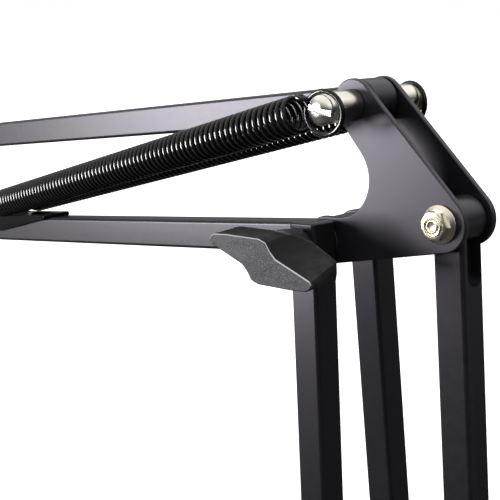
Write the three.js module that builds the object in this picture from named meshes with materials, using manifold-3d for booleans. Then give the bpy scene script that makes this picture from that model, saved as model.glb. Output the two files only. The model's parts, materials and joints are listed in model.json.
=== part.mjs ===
// Boom microphone stand: a desk clamp, a turning base and two parallelogram arms of square steel tube,
// balanced by extension springs. Millimetres, +Z up. The origin is the clamp's seat on the pan axis;
// the arm reaches towards -X and its pivots lie along Y. "Front" is -Y and "rear" is +Y.
import * as THREE from "three";
import { mergeVertices } from "three/addons/utils/BufferGeometryUtils.js";
import Module from "manifold-3d";

const wasm = await Module();
wasm.setup();

// ---- Driving dimensions ----
const degrees = Math.PI / 180;
const GAP = 0.3; // between neighbours that touch

// Arms
const REACH = 360; // pivot to pivot, both arms
const TUBE = 13; // square tube, outside
const WALL = 1.2;
const TUBE_CORNER = 1.4;
const LOWER_LEAN = 5.49 * degrees; // the lower arm leans towards -X
const UPPER_SLOPE = 7.95 * degrees; // the upper arm droops towards -X
const SPLAY = 1.83 * degrees; // each bar of the pair spreads outwards on its way down
const PAIR_TOP = 8.7; // the pair's closed tops stand this far above the elbow pivot
const PAIR_TAIL = 10; // the pair's open ends hang this far below the base pivot
const PAIR_INNER_AT_ELBOW = 11.5; // half the space between the pair, at the elbow
const BOSS = { r: 8.8, y: 7.2 }; // the round bosses at the single bars' pivots, radius and half width
const BACK_SLOT = { at: 19.8, y: 1.2, half: 4.6 }; // its round end, below the back bar's upper pivot

// Pivots, from the pivot of the pair: the back bar's pivot and the top bar's pivot
const BACK = [54, 14.6];
const TOP = [11.9, 55.1];
const BASE_PIVOT = [-22, 78]; // the pair's pivot on the turret, x and z

// Fasteners
const BOLT = 3; // radius of an M6 bolt
const BORE = BOLT + GAP;
const NUT_FLATS = 10; // across the flats
const NUT_FLANGE = 7.1; // radius
const NUT_TALL = 5.3;
const BOLT_PROUD = 5.6; // a bolt's end, above the face that its nut stands on

// Elbow plates
const PLATE = 2.5;
const PLATE_OUTER = 10.2; // half the width over both plates
const NOTCH = { at: [5, 25.9], r: 15.7 }; // the plate's hollow side

// Posts and springs of the upper arm
const POST = 6;
const SPRING_Y = 27.4; // the springs' loops on the posts
const SPRING_R = 7.55;
const WIRE = 1;
const SPRING_LOOP = 7.9; // radius of the loop's middle line
const COIL_START = 8.5;
const COIL_END = 252;
const SADDLE_AT = 251; // along the upper arm's lower bar, from the elbow pivot
const SADDLE_PIN_UP = 13.2; // above the bar's middle line
const HOOK_Y = 10.2; // the springs' hooks on the saddle's pin

// Lower arm's springs
const LOW_SPRING_Y = 8.5;
const LOW_SPRING_R = 6.5;
const LOW_ANCHOR = [24, 8]; // from the pair's base pivot
const CROSS_PIN_AT = 190; // up the lower arm
const LOW_COIL_END = 158;

// Wing knob, its faces by their distance to the front of the arm's middle plane
const KNOB = { front: 48.7, step: 41, back: 33.7, drop: -1.5 };

// Base and turret
const BASE_OUTER = 21.85; // half the width over the base plates
const BLOCK = { x: 15, y: 19.05, z0: 47, z1: 66 };
const SOCKET_TOP = 37;

// Clamp
const CLAMP = { back: 30, tip: -38, y: 21, thick: 5, pad: 2, foot: -75, lowerTip: -26 };
const PRESS_TOP = -32; // upper face of the pressure plate
const SCREW = 5; // radius
const SCREW_BOSS = [-122, -106]; // the cross-drilled foot of the screw
const HANDLE_AT = -113;

// ---- Making solids ----
function solid(geometry) {
  const bare = geometry.index ? geometry.toNonIndexed() : geometry.clone();
  bare.deleteAttribute("normal");
  bare.deleteAttribute("uv");
  const merged = mergeVertices(bare, 1e-4);
  return new wasm.Manifold(new wasm.Mesh({
    numProp: 3,
    vertProperties: merged.attributes.position.array,
    triVerts: new Uint32Array(merged.index.array),
  }));
}

function geometryOf(body) {
  const mesh = body.getMesh();
  const geometry = new THREE.BufferGeometry();
  geometry.setAttribute("position", new THREE.BufferAttribute(mesh.vertProperties, 3));
  geometry.setIndex(new THREE.BufferAttribute(mesh.triVerts, 1));
  geometry.computeVertexNormals();
  return geometry;
}

// A box between two corners.
function box(x0, x1, y0, y1, z0, z1) {
  const geometry = new THREE.BoxGeometry(x1 - x0, y1 - y0, z1 - z0);
  geometry.translate((x0 + x1) / 2, (y0 + y1) / 2, (z0 + z1) / 2);
  return solid(geometry);
}

// A round bar along Y.
function barY(x, z, y0, y1, r, sides = 12) {
  return solid(new THREE.CylinderGeometry(r, r, y1 - y0, sides).translate(x, (y0 + y1) / 2, z));
}

// A round bar along Z.
function barZ(x, y, z0, z1, r, sides = 20) {
  const geometry = new THREE.CylinderGeometry(r, r, z1 - z0, sides).rotateX(Math.PI / 2);
  return solid(geometry.translate(x, y, (z0 + z1) / 2));
}

// A body turned on an axis along Y, from [radius, y] pairs.
function turned(profile, sides = 14) {
  const points = profile.map(([r, y]) => new THREE.Vector2(r, y));
  const geometry = new THREE.LatheGeometry(points, sides);
  const body = solid(geometry);
  return body.volume() < 0 ? solid(new THREE.LatheGeometry(points.reverse(), sides)) : body;
}

// The closed outline that wraps circles [x, z, r] anticlockwise; a negative r is a hollow.
function wrap(circles, step = 22 * degrees) {
  const count = circles.length;
  const normals = circles.map(([x, z, r], i) => {
    const [nx, nz, nr] = circles[(i + 1) % count];
    return Math.atan2(nz - z, nx - x) - Math.acos((r - nr) / Math.hypot(nx - x, nz - z));
  });
  const points = [];
  circles.forEach(([x, z, r], i) => {
    const from = normals[(i + count - 1) % count];
    let turn = (normals[i] - from) % (2 * Math.PI);
    if (r > 0 && turn < 0) turn += 2 * Math.PI;
    if (r < 0 && turn > 0) turn -= 2 * Math.PI;
    const steps = Math.max(1, Math.ceil(Math.abs(turn) / step));
    for (let k = 0; k <= steps; k++) {
      const angle = from + (turn * k) / steps;
      points.push(new THREE.Vector2(x + r * Math.cos(angle), z + r * Math.sin(angle)));
    }
  });
  return points;
}

// A flat plate in the XZ plane with round holes [x, z, r], between y0 and y1.
function plate(outline, holes, y0, y1) {
  const shape = new THREE.Shape(outline);
  for (const [x, z, r] of holes) {
    const hole = new THREE.Path();
    hole.absarc(x, z, r, 0, 2 * Math.PI, true);
    shape.holes.push(hole);
  }
  const settings = { depth: y1 - y0, bevelEnabled: false, curveSegments: 6 };
  return solid(new THREE.ExtrudeGeometry(shape, settings).rotateX(Math.PI / 2).translate(0, y1, 0));
}

// ---- Materials ----
function finish(color, roughness, metalness) {
  return new THREE.MeshStandardMaterial({ color, roughness, metalness });
}
const BLACK_STEEL = finish(0x1d1c1e, 0.45, 0.3);
const BLACK_SPRING = finish(0x0c0c0d, 0.25, 0.4);
const NICKEL = finish(0xc9c4b8, 0.28, 1);
const KNOB_PLASTIC = finish(0x232325, 0.6, 0);
const RUBBER = finish(0x151515, 0.9, 0);

const stand = new THREE.Group();
const base = new THREE.Group();
const lowerArm = new THREE.Group();
const elbow = new THREE.Group();
const upperArm = new THREE.Group();
const head = new THREE.Group();

function add(group, name, body, material) {
  const mesh = new THREE.Mesh(geometryOf(body), material.clone());
  mesh.name = name;
  group.add(mesh);
  return mesh;
}

// ---- Fasteners, all along Y ----
const SIDES = [["front", -1], ["rear", 1]];

// Mirrors a front piece (towards -Y) to the rear when side is 1.
function onSide(body, side) {
  return side < 0 ? body : body.mirror([0, 1, 0]);
}

function flangeNut(x, z, seat) {
  const hex = new THREE.CylinderGeometry(NUT_FLATS / Math.sqrt(3), NUT_FLATS / Math.sqrt(3), NUT_TALL, 6);
  const flange = turned([[0, -1.6], [5.6, -1.6], [NUT_FLANGE, -0.8], [NUT_FLANGE, 0], [0, 0]]);
  const nut = solid(hex.translate(0, -NUT_TALL / 2, 0)).add(flange).subtract(barY(0, 0, -10, 1, BORE));
  return nut.translate([x, -seat, z]);
}

// A hex bolt with its head on the rear side and its end past the front nut.
function rearBolt(x, z, headSeat, frontEnd) {
  const hex = new THREE.CylinderGeometry(NUT_FLATS / Math.sqrt(3), NUT_FLATS / Math.sqrt(3), 4, 6);
  const washerFace = barY(0, 0, headSeat, headSeat + 0.5, NUT_FLANGE - 1);
  const shank = barY(0, 0, -frontEnd, headSeat + 2, BOLT);
  return solid(hex.translate(0, headSeat + 2.4, 0)).add(washerFace).add(shank).translate([x, 0, z]);
}

// A rivet with a low round head outside each end of its grip.
function rivet(x, z, grip, headRadius = 5.4, headTall = 1.8) {
  const dome = [[0, -headTall], [headRadius * 0.6, -headTall * 0.9], [headRadius, 0], [0, 0]];
  const front = turned(dome).translate([0, -grip, 0]);
  return barY(0, 0, -grip - 0.5, grip + 0.5, BOLT).add(front).add(onSide(front, 1)).translate([x, 0, z]);
}

// A turned collar with a clear bore.
function collar(x, z, y0, y1, r, bore = BORE) {
  return barY(x, z, y0, y1, r).subtract(barY(x, z, y0 - 1, y1 + 1, bore));
}

// ---- Clamp ----
function clampFrame() {
  const { back, tip, y, thick, pad, foot, lowerTip } = CLAMP;
  const side = new THREE.Shape([
    [tip, pad], [back - thick - 2, pad], [back - thick, pad - 2], [back - thick, foot + thick + 2],
    [back - thick - 2, foot + thick], [lowerTip, foot + thick], [lowerTip, foot], [back - 3, foot],
    [back, foot + 3], [back, pad + thick - 3], [back - 3, pad + thick], [tip, pad + thick],
  ].map(([x, z]) => new THREE.Vector2(x, z)));
  const strap = new THREE.ExtrudeGeometry(side, { depth: 2 * y, bevelEnabled: false });
  const socketFoot = pad + thick - 1;
  const socket = barZ(0, 0, socketFoot, SOCKET_TOP, 10).add(barZ(0, 0, socketFoot, socketFoot + 3, 13));
  const screwBoss = new THREE.CylinderGeometry(6, 6, 7, 20).translate(0, -12, 22);
  return solid(strap.rotateX(Math.PI / 2).translate(0, y, 0))
    .add(socket)
    .add(barZ(0, 0, foot + thick - 1, foot + thick + 9, 10))
    .add(solid(screwBoss))
    .subtract(barZ(0, 0, pad + 3, SOCKET_TOP + 1, 5.3))
    .subtract(barZ(0, 0, foot - 1, foot + thick + 10, SCREW + GAP))
    .subtract(barY(0, 22, -16, 0, BORE));
}

function clampScrew() {
  const rod = barZ(0, 0, SCREW_BOSS[1] - 1, PRESS_TOP - 3 - GAP, SCREW);
  const boss = barZ(0, 0, ...SCREW_BOSS, 8);
  return rod.add(boss).subtract(barY(0, HANDLE_AT, -12, 12, 3 + GAP));
}

function tommyBar() {
  const end = turned([[0, -34], [3, -34], [4.2, -32.5], [4.2, -30], [3, -28], [0, -28]]);
  return barY(0, 0, -30, 30, 3).add(end).add(end.mirror([0, 1, 0])).translate([0, 0, HANDLE_AT]);
}

function pressurePlate() {
  return barZ(0, 0, PRESS_TOP - 3, PRESS_TOP, 18, 24);
}

function socketScrew() {
  const shank = barY(0, 22, -30, -5.6, BOLT);
  const hub = barY(0, 22, -30, -16, 5.5);
  const grip = plate(wrap([[-9, 22, 3.6], [9, 22, 3.6]]), [], -30, -25);
  return shank.add(hub).add(grip);
}

function buildClamp() {
  const { tip, back, thick, y, pad } = CLAMP;
  add(stand, "clamp_frame", clampFrame(), BLACK_STEEL);
  add(stand, "clamp_seat_pad", box(tip + 1, back - thick - 3, 1 - y, y - 1, 0, pad - GAP / 10), RUBBER);
  add(stand, "clamp_screw", clampScrew(), NICKEL);
  add(stand, "clamp_handle_bar", tommyBar(), NICKEL);
  add(stand, "clamp_pressure_plate", pressurePlate(), BLACK_STEEL);
  add(stand, "socket_thumbscrew", socketScrew(), KNOB_PLASTIC);
}

// ---- Turret and base plates ----
function buildBase() {
  base.position.set(BASE_PIVOT[0], 0, BASE_PIVOT[1]);
  const axis = -BASE_PIVOT[0]; // the pan axis, seen from the pair's pivot
  const low = BLOCK.z0 - BASE_PIVOT[1];
  const high = BLOCK.z1 - BASE_PIVOT[1];
  const rivetZ = (low + high) / 2;
  const outline = wrap([[0, 0, 10], [axis - 10, low + 7, 6], [axis + 10, low + 7, 6], [...BACK, 10]]);
  const holes = [[0, 0, BORE], [...BACK, BORE], [...LOW_ANCHOR, BORE], [axis, rivetZ, BORE]];
  for (const [name, side] of SIDES) {
    const front = plate(outline, holes, -BASE_OUTER, PLATE - BASE_OUTER);
    add(base, "base_plate_" + name, onSide(front, side), BLACK_STEEL);
    const spacer = collar(...BACK, -BLOCK.y, -BOSS.y - GAP, 5.5);
    add(base, "base_spacer_" + name, onSide(spacer, side), NICKEL);
  }
  const block = box(axis - BLOCK.x, axis + BLOCK.x, -BLOCK.y, BLOCK.y, low, high)
    .subtract(barY(axis, rivetZ, -30, 30, BORE))
    .subtract(barZ(axis, 0, low - 1, low + 6, 5 + GAP));
  add(base, "turret_block", block, BLACK_STEEL);
  const collarTop = low - GAP / 3;
  const spigot = barZ(axis, 0, 10 - BASE_PIVOT[1], low + 5.5, 5)
    .add(barZ(axis, 0, SOCKET_TOP + GAP - BASE_PIVOT[1], collarTop, 12));
  add(base, "spigot", spigot, NICKEL);
  add(base, "turret_rivet", rivet(axis, rivetZ, BASE_OUTER + GAP), NICKEL);
  add(base, "base_spring_pin", rivet(...LOW_ANCHOR, BASE_OUTER + GAP, 4.6, 1.4), NICKEL);
  const pairOuter = PAIR_INNER_AT_ELBOW + TUBE + REACH * Math.tan(SPLAY) + 0.6;
  add(base, "base_pair_bolt", rearBolt(0, 0, pairOuter, pairOuter + BOLT_PROUD), NICKEL);
  add(base, "base_pair_nut", flangeNut(0, 0, pairOuter), NICKEL);
  add(base, "base_back_bolt", rearBolt(...BACK, BASE_OUTER + GAP, BASE_OUTER + BOLT_PROUD), NICKEL);
  add(base, "base_back_nut", flangeNut(...BACK, BASE_OUTER + GAP), NICKEL);
  stand.add(base);
}

// ---- Square tubes ----
// The tube's section, with rounded corners, as a shape.
function tubeSection(side, corner) {
  const half = side / 2 - corner;
  const corners = [[half, half], [-half, half], [-half, -half], [half, -half]];
  const points = [];
  corners.forEach(([x, y], i) => {
    for (let k = 0; k <= 1; k++) {
      const angle = (i + k) * 90 * degrees;
      points.push(new THREE.Vector2(x + corner * Math.cos(angle), y + corner * Math.sin(angle)));
    }
  });
  return new THREE.Shape(points);
}

// A tube along Z.
function tube(z0, z1) {
  const section = tubeSection(TUBE, TUBE_CORNER);
  const geometry = new THREE.ExtrudeGeometry(section, { depth: z1 - z0, bevelEnabled: false });
  return solid(geometry.translate(0, 0, z0));
}

// One bar of the splayed pair: its top is closed and its foot is open.
function pairBar(side) {
  const inner = TUBE / 2 - WALL;
  const middle = side * (PAIR_INNER_AT_ELBOW + TUBE / 2 + REACH * Math.tan(SPLAY));
  return tube(-PAIR_TAIL, REACH + PAIR_TOP)
    .subtract(box(-inner, inner, -inner, inner, -PAIR_TAIL - 1, REACH + PAIR_TOP - 1.5))
    .rotate([(side * SPLAY) / degrees, 0, 0])
    .translate([0, middle, 0])
    .subtract(barY(0, 0, -45, 45, BORE))
    .subtract(barY(0, REACH, -45, 45, BORE))
    .subtract(barY(0, CROSS_PIN_AT, -45, 45, BORE));
}

// A single bar along Z. Each end is a solid round boss, and a drain hole opens the tube between them.
// The cuts are taken from the tube and leave the bosses whole.
function singleBar(...cuts) {
  const inner = TUBE / 2 - WALL;
  const hollow = box(-inner, inner, -inner, inner, 14, REACH - 14);
  const drain = new THREE.CylinderGeometry(1.5, 1.5, TUBE, 8).rotateZ(Math.PI / 2);
  cuts.push(hollow, solid(drain.translate(TUBE / 2, 0, 24)));
  return cuts.reduce((left, cut) => left.subtract(cut), tube(0, REACH))
    .add(barY(0, 0, -BOSS.y, BOSS.y, BOSS.r, 20))
    .add(barY(0, REACH, -BOSS.y, BOSS.y, BOSS.r, 20))
    .subtract(barY(0, 0, -8, 8, BORE))
    .subtract(barY(0, REACH, -8, 8, BORE));
}

// The slot in the back bar's outer face, which runs from a round end up to the boss.
function backSlot() {
  const { at, y, half } = BACK_SLOT;
  const foot = REACH - at;
  const end = new THREE.CylinderGeometry(half, half, 5.5, 16).rotateZ(Math.PI / 2);
  return box(1.5, 7, y - half, y + half, foot, REACH - 5).add(solid(end.translate(4.25, y, foot)));
}

// ---- Springs ----
// A close-wound spring as a plain sleeve along X, with its loop about the origin.
function springSleeve(radius, wire, loop, start, end) {
  const bore = radius - 2 * wire;
  const points = [[0, start], [radius, start], [radius, end], [bore, end], [bore, start + 2], [0, start + 2]];
  const ring = new THREE.TorusGeometry(loop, wire, 6, 16).rotateX(Math.PI / 2);
  return turned(points, 16).rotate([0, 0, -90]).add(solid(ring));
}

// A hook: an eye about the origin and a shank along X.
function hook(eye, wire, shank) {
  const ring = new THREE.TorusGeometry(eye, wire, 6, 14).rotateX(Math.PI / 2);
  const rod = new THREE.CylinderGeometry(wire, wire, shank - eye, 6).rotateZ(Math.PI / 2);
  return solid(ring).add(solid(rod.translate((shank + eye) / 2, 0, 0)));
}

// ---- Lower arm ----
function buildLowerArm() {
  lowerArm.position.copy(base.position);
  lowerArm.rotation.y = -LOWER_LEAN;
  for (const [name, side] of SIDES) add(lowerArm, "lower_bar_" + name, pairBar(side), BLACK_STEEL);
  const pinReach = PAIR_INNER_AT_ELBOW + TUBE + (REACH - CROSS_PIN_AT) * Math.tan(SPLAY) + 0.5;
  add(lowerArm, "lower_cross_pin", rivet(0, CROSS_PIN_AT, pinReach), NICKEL);
  stand.add(lowerArm);

  const backBar = new THREE.Group();
  backBar.position.set(BASE_PIVOT[0] + BACK[0], 0, BASE_PIVOT[1] + BACK[1]);
  backBar.rotation.y = -LOWER_LEAN;
  add(backBar, "lower_bar_back", singleBar(backSlot()), BLACK_STEEL);
  stand.add(backBar);
}

function buildLowerSprings() {
  const far = [-CROSS_PIN_AT * Math.sin(LOWER_LEAN), CROSS_PIN_AT * Math.cos(LOWER_LEAN)];
  const run = [far[0] - LOW_ANCHOR[0], far[1] - LOW_ANCHOR[1]];
  const length = Math.hypot(...run);
  const springs = new THREE.Group();
  springs.position.set(BASE_PIVOT[0] + LOW_ANCHOR[0], 0, BASE_PIVOT[1] + LOW_ANCHOR[1]);
  springs.rotation.y = -Math.atan2(run[1], run[0]);
  for (const [name, side] of SIDES) {
    const sleeve = springSleeve(LOW_SPRING_R, 0.9, 5.2, 5.2, LOW_COIL_END);
    const spring = add(springs, "lower_spring_" + name, sleeve, BLACK_SPRING);
    const grip = barY(0, 0, LOW_COIL_END - 10, LOW_COIL_END - 5, 4.2).rotate([0, 0, -90]);
    const eye = hook(7.4, 1, length - LOW_COIL_END + 8).mirror([1, 0, 0]).translate([length, 0, 0]).add(grip);
    const tail = add(springs, "lower_hook_" + name, eye, NICKEL);
    spring.position.y = side * LOW_SPRING_Y;
    tail.position.y = side * LOW_SPRING_Y;
  }
  stand.add(springs);
}

// ---- Elbow ----
function elbowPlate() {
  const outline = wrap([[0, 0, 9.7], [...BACK, 10.7], [...TOP, 9.2], [...NOTCH.at, -NOTCH.r]], 15 * degrees);
  return plate(outline, [[0, 0, BORE], [...BACK, BORE], [...TOP, BORE]], -PLATE_OUTER, PLATE - PLATE_OUTER);
}

// A plated post on the front end of the top pin, necked for the spring's loop.
function springPost() {
  const seat = -PLATE_OUTER - GAP;
  const neck = -SPRING_Y + 1.6;
  const end = -SPRING_Y - 1.5;
  const neckRadius = 4;
  const profile = [
    [0, seat], [POST, seat], [POST, neck + 0.8], [POST - 0.8, neck], [neckRadius, neck],
    [neckRadius, end], [0, end],
  ];
  return turned(profile)
    .subtract(barY(0, 0, -20 - GAP, 0, BORE))
    .subtract(barY(0, 0, end - 1, -22, 2.4))
    .translate([TOP[0], 0, TOP[1]]);
}

// The slotted round-head screw that closes a post.
function postScrew() {
  const seat = -SPRING_Y - 1.5 - GAP;
  const head = turned([
    [0, seat - 4.2], [2.6, seat - 3.9], [4.6, seat - 2.9], [5.8, seat - 1.3], [6, seat], [0, seat],
  ]);
  const slot = box(-7, 7, seat - 6, seat - 2.2, -0.7, 0.7).rotate([0, 35, 0]);
  return head.subtract(slot).add(barY(0, 0, seat - 1, -22 - GAP, 2.1)).translate([TOP[0], 0, TOP[1]]);
}

// A closed outline that is the same when turned half round, from one half of its points.
function halfTurned(half, dz) {
  const points = [...half, ...half.map(([x, z]) => [-x, -z])];
  return points.map(([x, z]) => new THREE.Vector2(x, z + dz));
}

// Wing knob: two blades on a hub. The front of each blade is scooped on one side, and the back is full.
function wingKnob() {
  const front = [
    [17.3, -7.8], [23.9, -7], [26.2, -5.7], [26.9, -4], [25.7, -2.8],
    [8.7, 2.4], [5.7, 5], [3.6, 8.2], [0, 8.9],
  ];
  const back = [[26, -6.6], [26, 1.4], [13.5, 7], [-3, 8.2]];
  const blades = plate(halfTurned(front, KNOB.drop), [], -KNOB.front, -KNOB.step)
    .add(plate(halfTurned(back, KNOB.drop), [], -KNOB.step, -KNOB.back));
  const hub = turned([[0, -36], [8, -36], [7.4, -27], [6.6, -25.2], [0, -25.2]]);
  return blades.add(hub).subtract(barY(0, 0, -40, -20, BORE));
}

function buildElbow() {
  elbow.position.set(
    BASE_PIVOT[0] - REACH * Math.sin(LOWER_LEAN), 0, BASE_PIVOT[1] + REACH * Math.cos(LOWER_LEAN),
  );
  for (const [name, side] of SIDES) {
    add(elbow, "elbow_plate_" + name, onSide(elbowPlate(), side), BLACK_STEEL);
    add(elbow, "elbow_post_" + name, onSide(springPost(), side), NICKEL);
    add(elbow, "elbow_screw_" + name, onSide(postScrew(), side), NICKEL);
    const washer = collar(0, 0, -PAIR_INNER_AT_ELBOW + 0.45, -PLATE_OUTER - 0.1, 6.5);
    add(elbow, "elbow_washer_" + name, onSide(washer, side), NICKEL);
  }
  add(elbow, "elbow_top_pin", barY(...TOP, -20, 20, BOLT), NICKEL);
  add(elbow, "elbow_back_bolt", rearBolt(...BACK, PLATE_OUTER + GAP, PLATE_OUTER + BOLT_PROUD), NICKEL);
  add(elbow, "elbow_back_nut", flangeNut(...BACK, PLATE_OUTER + GAP), NICKEL);
  add(elbow, "elbow_clamp_bolt", rearBolt(0, 0, PAIR_INNER_AT_ELBOW + TUBE + 0.6, 38), NICKEL);
  add(elbow, "elbow_wing_knob", wingKnob(), KNOB_PLASTIC);
  stand.add(elbow);
}

// ---- Upper arm ----
// A channel that straddles the lower bar, with two ears that carry the springs' pin.
function springSaddle() {
  const inner = TUBE / 2 + GAP;
  const outer = inner + 1.5;
  const top = TUBE / 2 + GAP + 1.5;
  const side = wrap([[SADDLE_AT - 50, 2, 2], [SADDLE_AT + 8, 2, 2], [SADDLE_AT, SADDLE_PIN_UP, 4.4],
    [SADDLE_AT - 13, SADDLE_PIN_UP + 1.2, -6.2], [SADDLE_AT - 50, top - 2, 2]], 30 * degrees);
  const flipped = side.map((p) => new THREE.Vector2(-p.x, p.y)).reverse();
  const body = plate(flipped, [[-SADDLE_AT, SADDLE_PIN_UP, 2.3]], -outer, outer);
  const under = box(-SADDLE_AT - 20, -SADDLE_AT + 60, -inner, inner, -5, TUBE / 2 + GAP);
  const over = box(-SADDLE_AT - 20, -SADDLE_AT + 60, -inner, inner, top, 30);
  return body.subtract(under).subtract(over);
}

function saddlePin() {
  const head = (y) => barY(0, 0, y, y + 1.2, 3.4, 10);
  const pin = barY(0, 0, -12.6, 12.6, 2, 10).add(head(-13.2)).add(head(12));
  return pin.translate([-SADDLE_AT, 0, SADDLE_PIN_UP]);
}

function buildUpperArm() {
  upperArm.position.copy(elbow.position);
  upperArm.rotation.y = -UPPER_SLOPE;
  add(upperArm, "upper_bar_bottom", singleBar().rotate([0, -90, 0]), BLACK_STEEL);
  add(upperArm, "spring_saddle", springSaddle(), BLACK_STEEL);
  add(upperArm, "saddle_pin", saddlePin(), NICKEL);
  stand.add(upperArm);

  const topBar = new THREE.Group();
  topBar.position.set(elbow.position.x + TOP[0], 0, elbow.position.z + TOP[1]);
  topBar.rotation.y = -UPPER_SLOPE;
  add(topBar, "upper_bar_top", singleBar().rotate([0, -90, 0]), BLACK_STEEL);
  stand.add(topBar);
}

// Where the saddle's pin lies, seen from the posts' axis, x and z.
function saddleFromPost() {
  const along = [-Math.cos(UPPER_SLOPE), -Math.sin(UPPER_SLOPE)];
  const up = [-Math.sin(UPPER_SLOPE), Math.cos(UPPER_SLOPE)];
  return [0, 1].map((i) => SADDLE_AT * along[i] + SADDLE_PIN_UP * up[i] - TOP[i]);
}

function buildUpperSprings() {
  const [dx, dz] = saddleFromPost();
  const length = Math.hypot(dx, dz);
  for (const [name, side] of SIDES) {
    const line = new THREE.Group();
    line.position.set(elbow.position.x + TOP[0], side * SPRING_Y, elbow.position.z + TOP[1]);
    const slope = new THREE.Group();
    slope.rotation.y = Math.PI - Math.atan2(dz, dx);
    const toe = new THREE.Group();
    toe.rotation.z = side * Math.atan((SPRING_Y - HOOK_Y) / length);
    const sleeve = springSleeve(SPRING_R, WIRE, SPRING_LOOP, COIL_START, COIL_END);
    add(toe, "upper_spring_" + name, sleeve.mirror([1, 0, 0]), BLACK_SPRING);
    const plug = barY(0, 0, COIL_END - 38, COIL_END - 22, SPRING_R - 2 * WIRE - GAP).rotate([0, 0, 90]);
    add(toe, "upper_plug_" + name, plug, NICKEL);
    const eye = hook(4.2, 1, length - COIL_END + 6).translate([-Math.hypot(length, SPRING_Y - HOOK_Y), 0, 0]);
    add(toe, "upper_hook_" + name, eye, NICKEL);
    slope.add(toe);
    line.add(slope);
    stand.add(line);
  }
}

// ---- Head ----
const SWIVEL = [-30, 22]; // the microphone's tilt axis, from the head's lower pivot

function swivelBlock() {
  const knuckle = barY(0, 0, -PLATE_OUTER + PLATE + GAP, PLATE_OUTER - PLATE - GAP, 9.5, 20);
  const neck = box(-6, 6, -6, 6, -22, 0);
  const collarBody = barZ(0, 0, -27, -19, 7.4, 20);
  return knuckle.add(neck).add(collarBody)
    .subtract(barY(0, 0, -12, 12, BORE))
    .subtract(barZ(0, 0, -28, -17, 4 + GAP))
    .translate([SWIVEL[0], 0, SWIVEL[1]]);
}

function micStud() {
  return barZ(0, 0, -48, -27 - GAP, 7.9, 20).add(barZ(0, 0, -29, -18, 4))
    .translate([SWIVEL[0], 0, SWIVEL[1]]);
}

function micLockRing() {
  return barZ(0, 0, -33, -28, 12, 20).subtract(barZ(0, 0, -34, -26, 7.9 + GAP, 20))
    .translate([SWIVEL[0], 0, SWIVEL[1]]);
}

function micKnob() {
  const grip = plate(wrap([[-13, 0, 4], [0, 0, 7], [13, 0, 4]]), [], -28, -18);
  return grip.add(barY(0, 0, -20, -PLATE_OUTER - GAP, 6.5)).add(barY(0, 0, -20, 15.5, BOLT))
    .translate([SWIVEL[0], 0, SWIVEL[1]]);
}

function buildHead() {
  head.position.set(
    elbow.position.x - REACH * Math.cos(UPPER_SLOPE), 0, elbow.position.z - REACH * Math.sin(UPPER_SLOPE),
  );
  const outline = wrap([[0, 0, 9.5], [...TOP, 9.5], [...SWIVEL, 9.5]]);
  const holes = [[0, 0, BORE], [...TOP, BORE], [...SWIVEL, BORE]];
  for (const [name, side] of SIDES) {
    const front = plate(outline, holes, -PLATE_OUTER, PLATE - PLATE_OUTER);
    add(head, "head_plate_" + name, onSide(front, side), BLACK_STEEL);
  }
  [["bottom", [0, 0]], ["top", TOP]].forEach(([name, at]) => {
    add(head, "head_bolt_" + name, rearBolt(...at, PLATE_OUTER + GAP, PLATE_OUTER + BOLT_PROUD), NICKEL);
    add(head, "head_nut_" + name, flangeNut(...at, PLATE_OUTER + GAP), NICKEL);
  });
  add(head, "mic_swivel_block", swivelBlock(), BLACK_STEEL);
  add(head, "mic_stud", micStud(), NICKEL);
  add(head, "mic_lock_ring", micLockRing(), NICKEL);
  add(head, "mic_knob", micKnob(), KNOB_PLASTIC);
  stand.add(head);
}

buildClamp();
buildBase();
buildLowerArm();
buildLowerSprings();
buildElbow();
buildUpperArm();
buildUpperSprings();
buildHead();

export default stand;
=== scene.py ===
"""The looks of a boom microphone stand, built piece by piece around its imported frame.

Shapes are drawn in millimetres in each piece's own axes, then placed in metres in the stand's frame:
+Z up, the arm reaching towards -X, every arm pivot along Y, the wing knobs on the -Y side.
"""
import json
import math

import bmesh
import bpy
from bpy.props import FloatProperty, FloatVectorProperty, IntProperty, PointerProperty
from mathutils import Matrix, Vector


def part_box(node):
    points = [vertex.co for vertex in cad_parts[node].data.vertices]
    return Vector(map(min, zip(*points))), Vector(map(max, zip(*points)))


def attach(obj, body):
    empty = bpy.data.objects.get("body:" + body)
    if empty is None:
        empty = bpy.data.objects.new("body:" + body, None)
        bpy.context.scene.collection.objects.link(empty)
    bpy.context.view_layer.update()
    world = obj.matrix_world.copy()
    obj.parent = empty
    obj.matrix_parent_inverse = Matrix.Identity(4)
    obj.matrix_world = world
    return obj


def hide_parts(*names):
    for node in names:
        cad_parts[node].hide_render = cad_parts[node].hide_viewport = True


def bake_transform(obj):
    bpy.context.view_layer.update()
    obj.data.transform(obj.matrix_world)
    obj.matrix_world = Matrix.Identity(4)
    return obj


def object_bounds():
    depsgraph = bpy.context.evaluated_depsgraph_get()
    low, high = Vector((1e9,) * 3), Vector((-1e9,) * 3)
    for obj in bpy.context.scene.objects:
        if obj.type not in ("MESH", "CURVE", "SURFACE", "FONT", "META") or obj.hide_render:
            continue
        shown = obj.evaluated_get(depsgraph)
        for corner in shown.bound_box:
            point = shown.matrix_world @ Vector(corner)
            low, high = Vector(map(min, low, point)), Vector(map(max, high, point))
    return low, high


bl_info = {
    "name": "Boom arm builder",
    "version": (1, 0, 0),
    "blender": (4, 5, 0),
    "location": "3D View > Sidebar > Boom Arm",
    "description": "Builds the visible pieces of a spring-balanced boom arm around its frame",
    "category": "Object",
}

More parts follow.
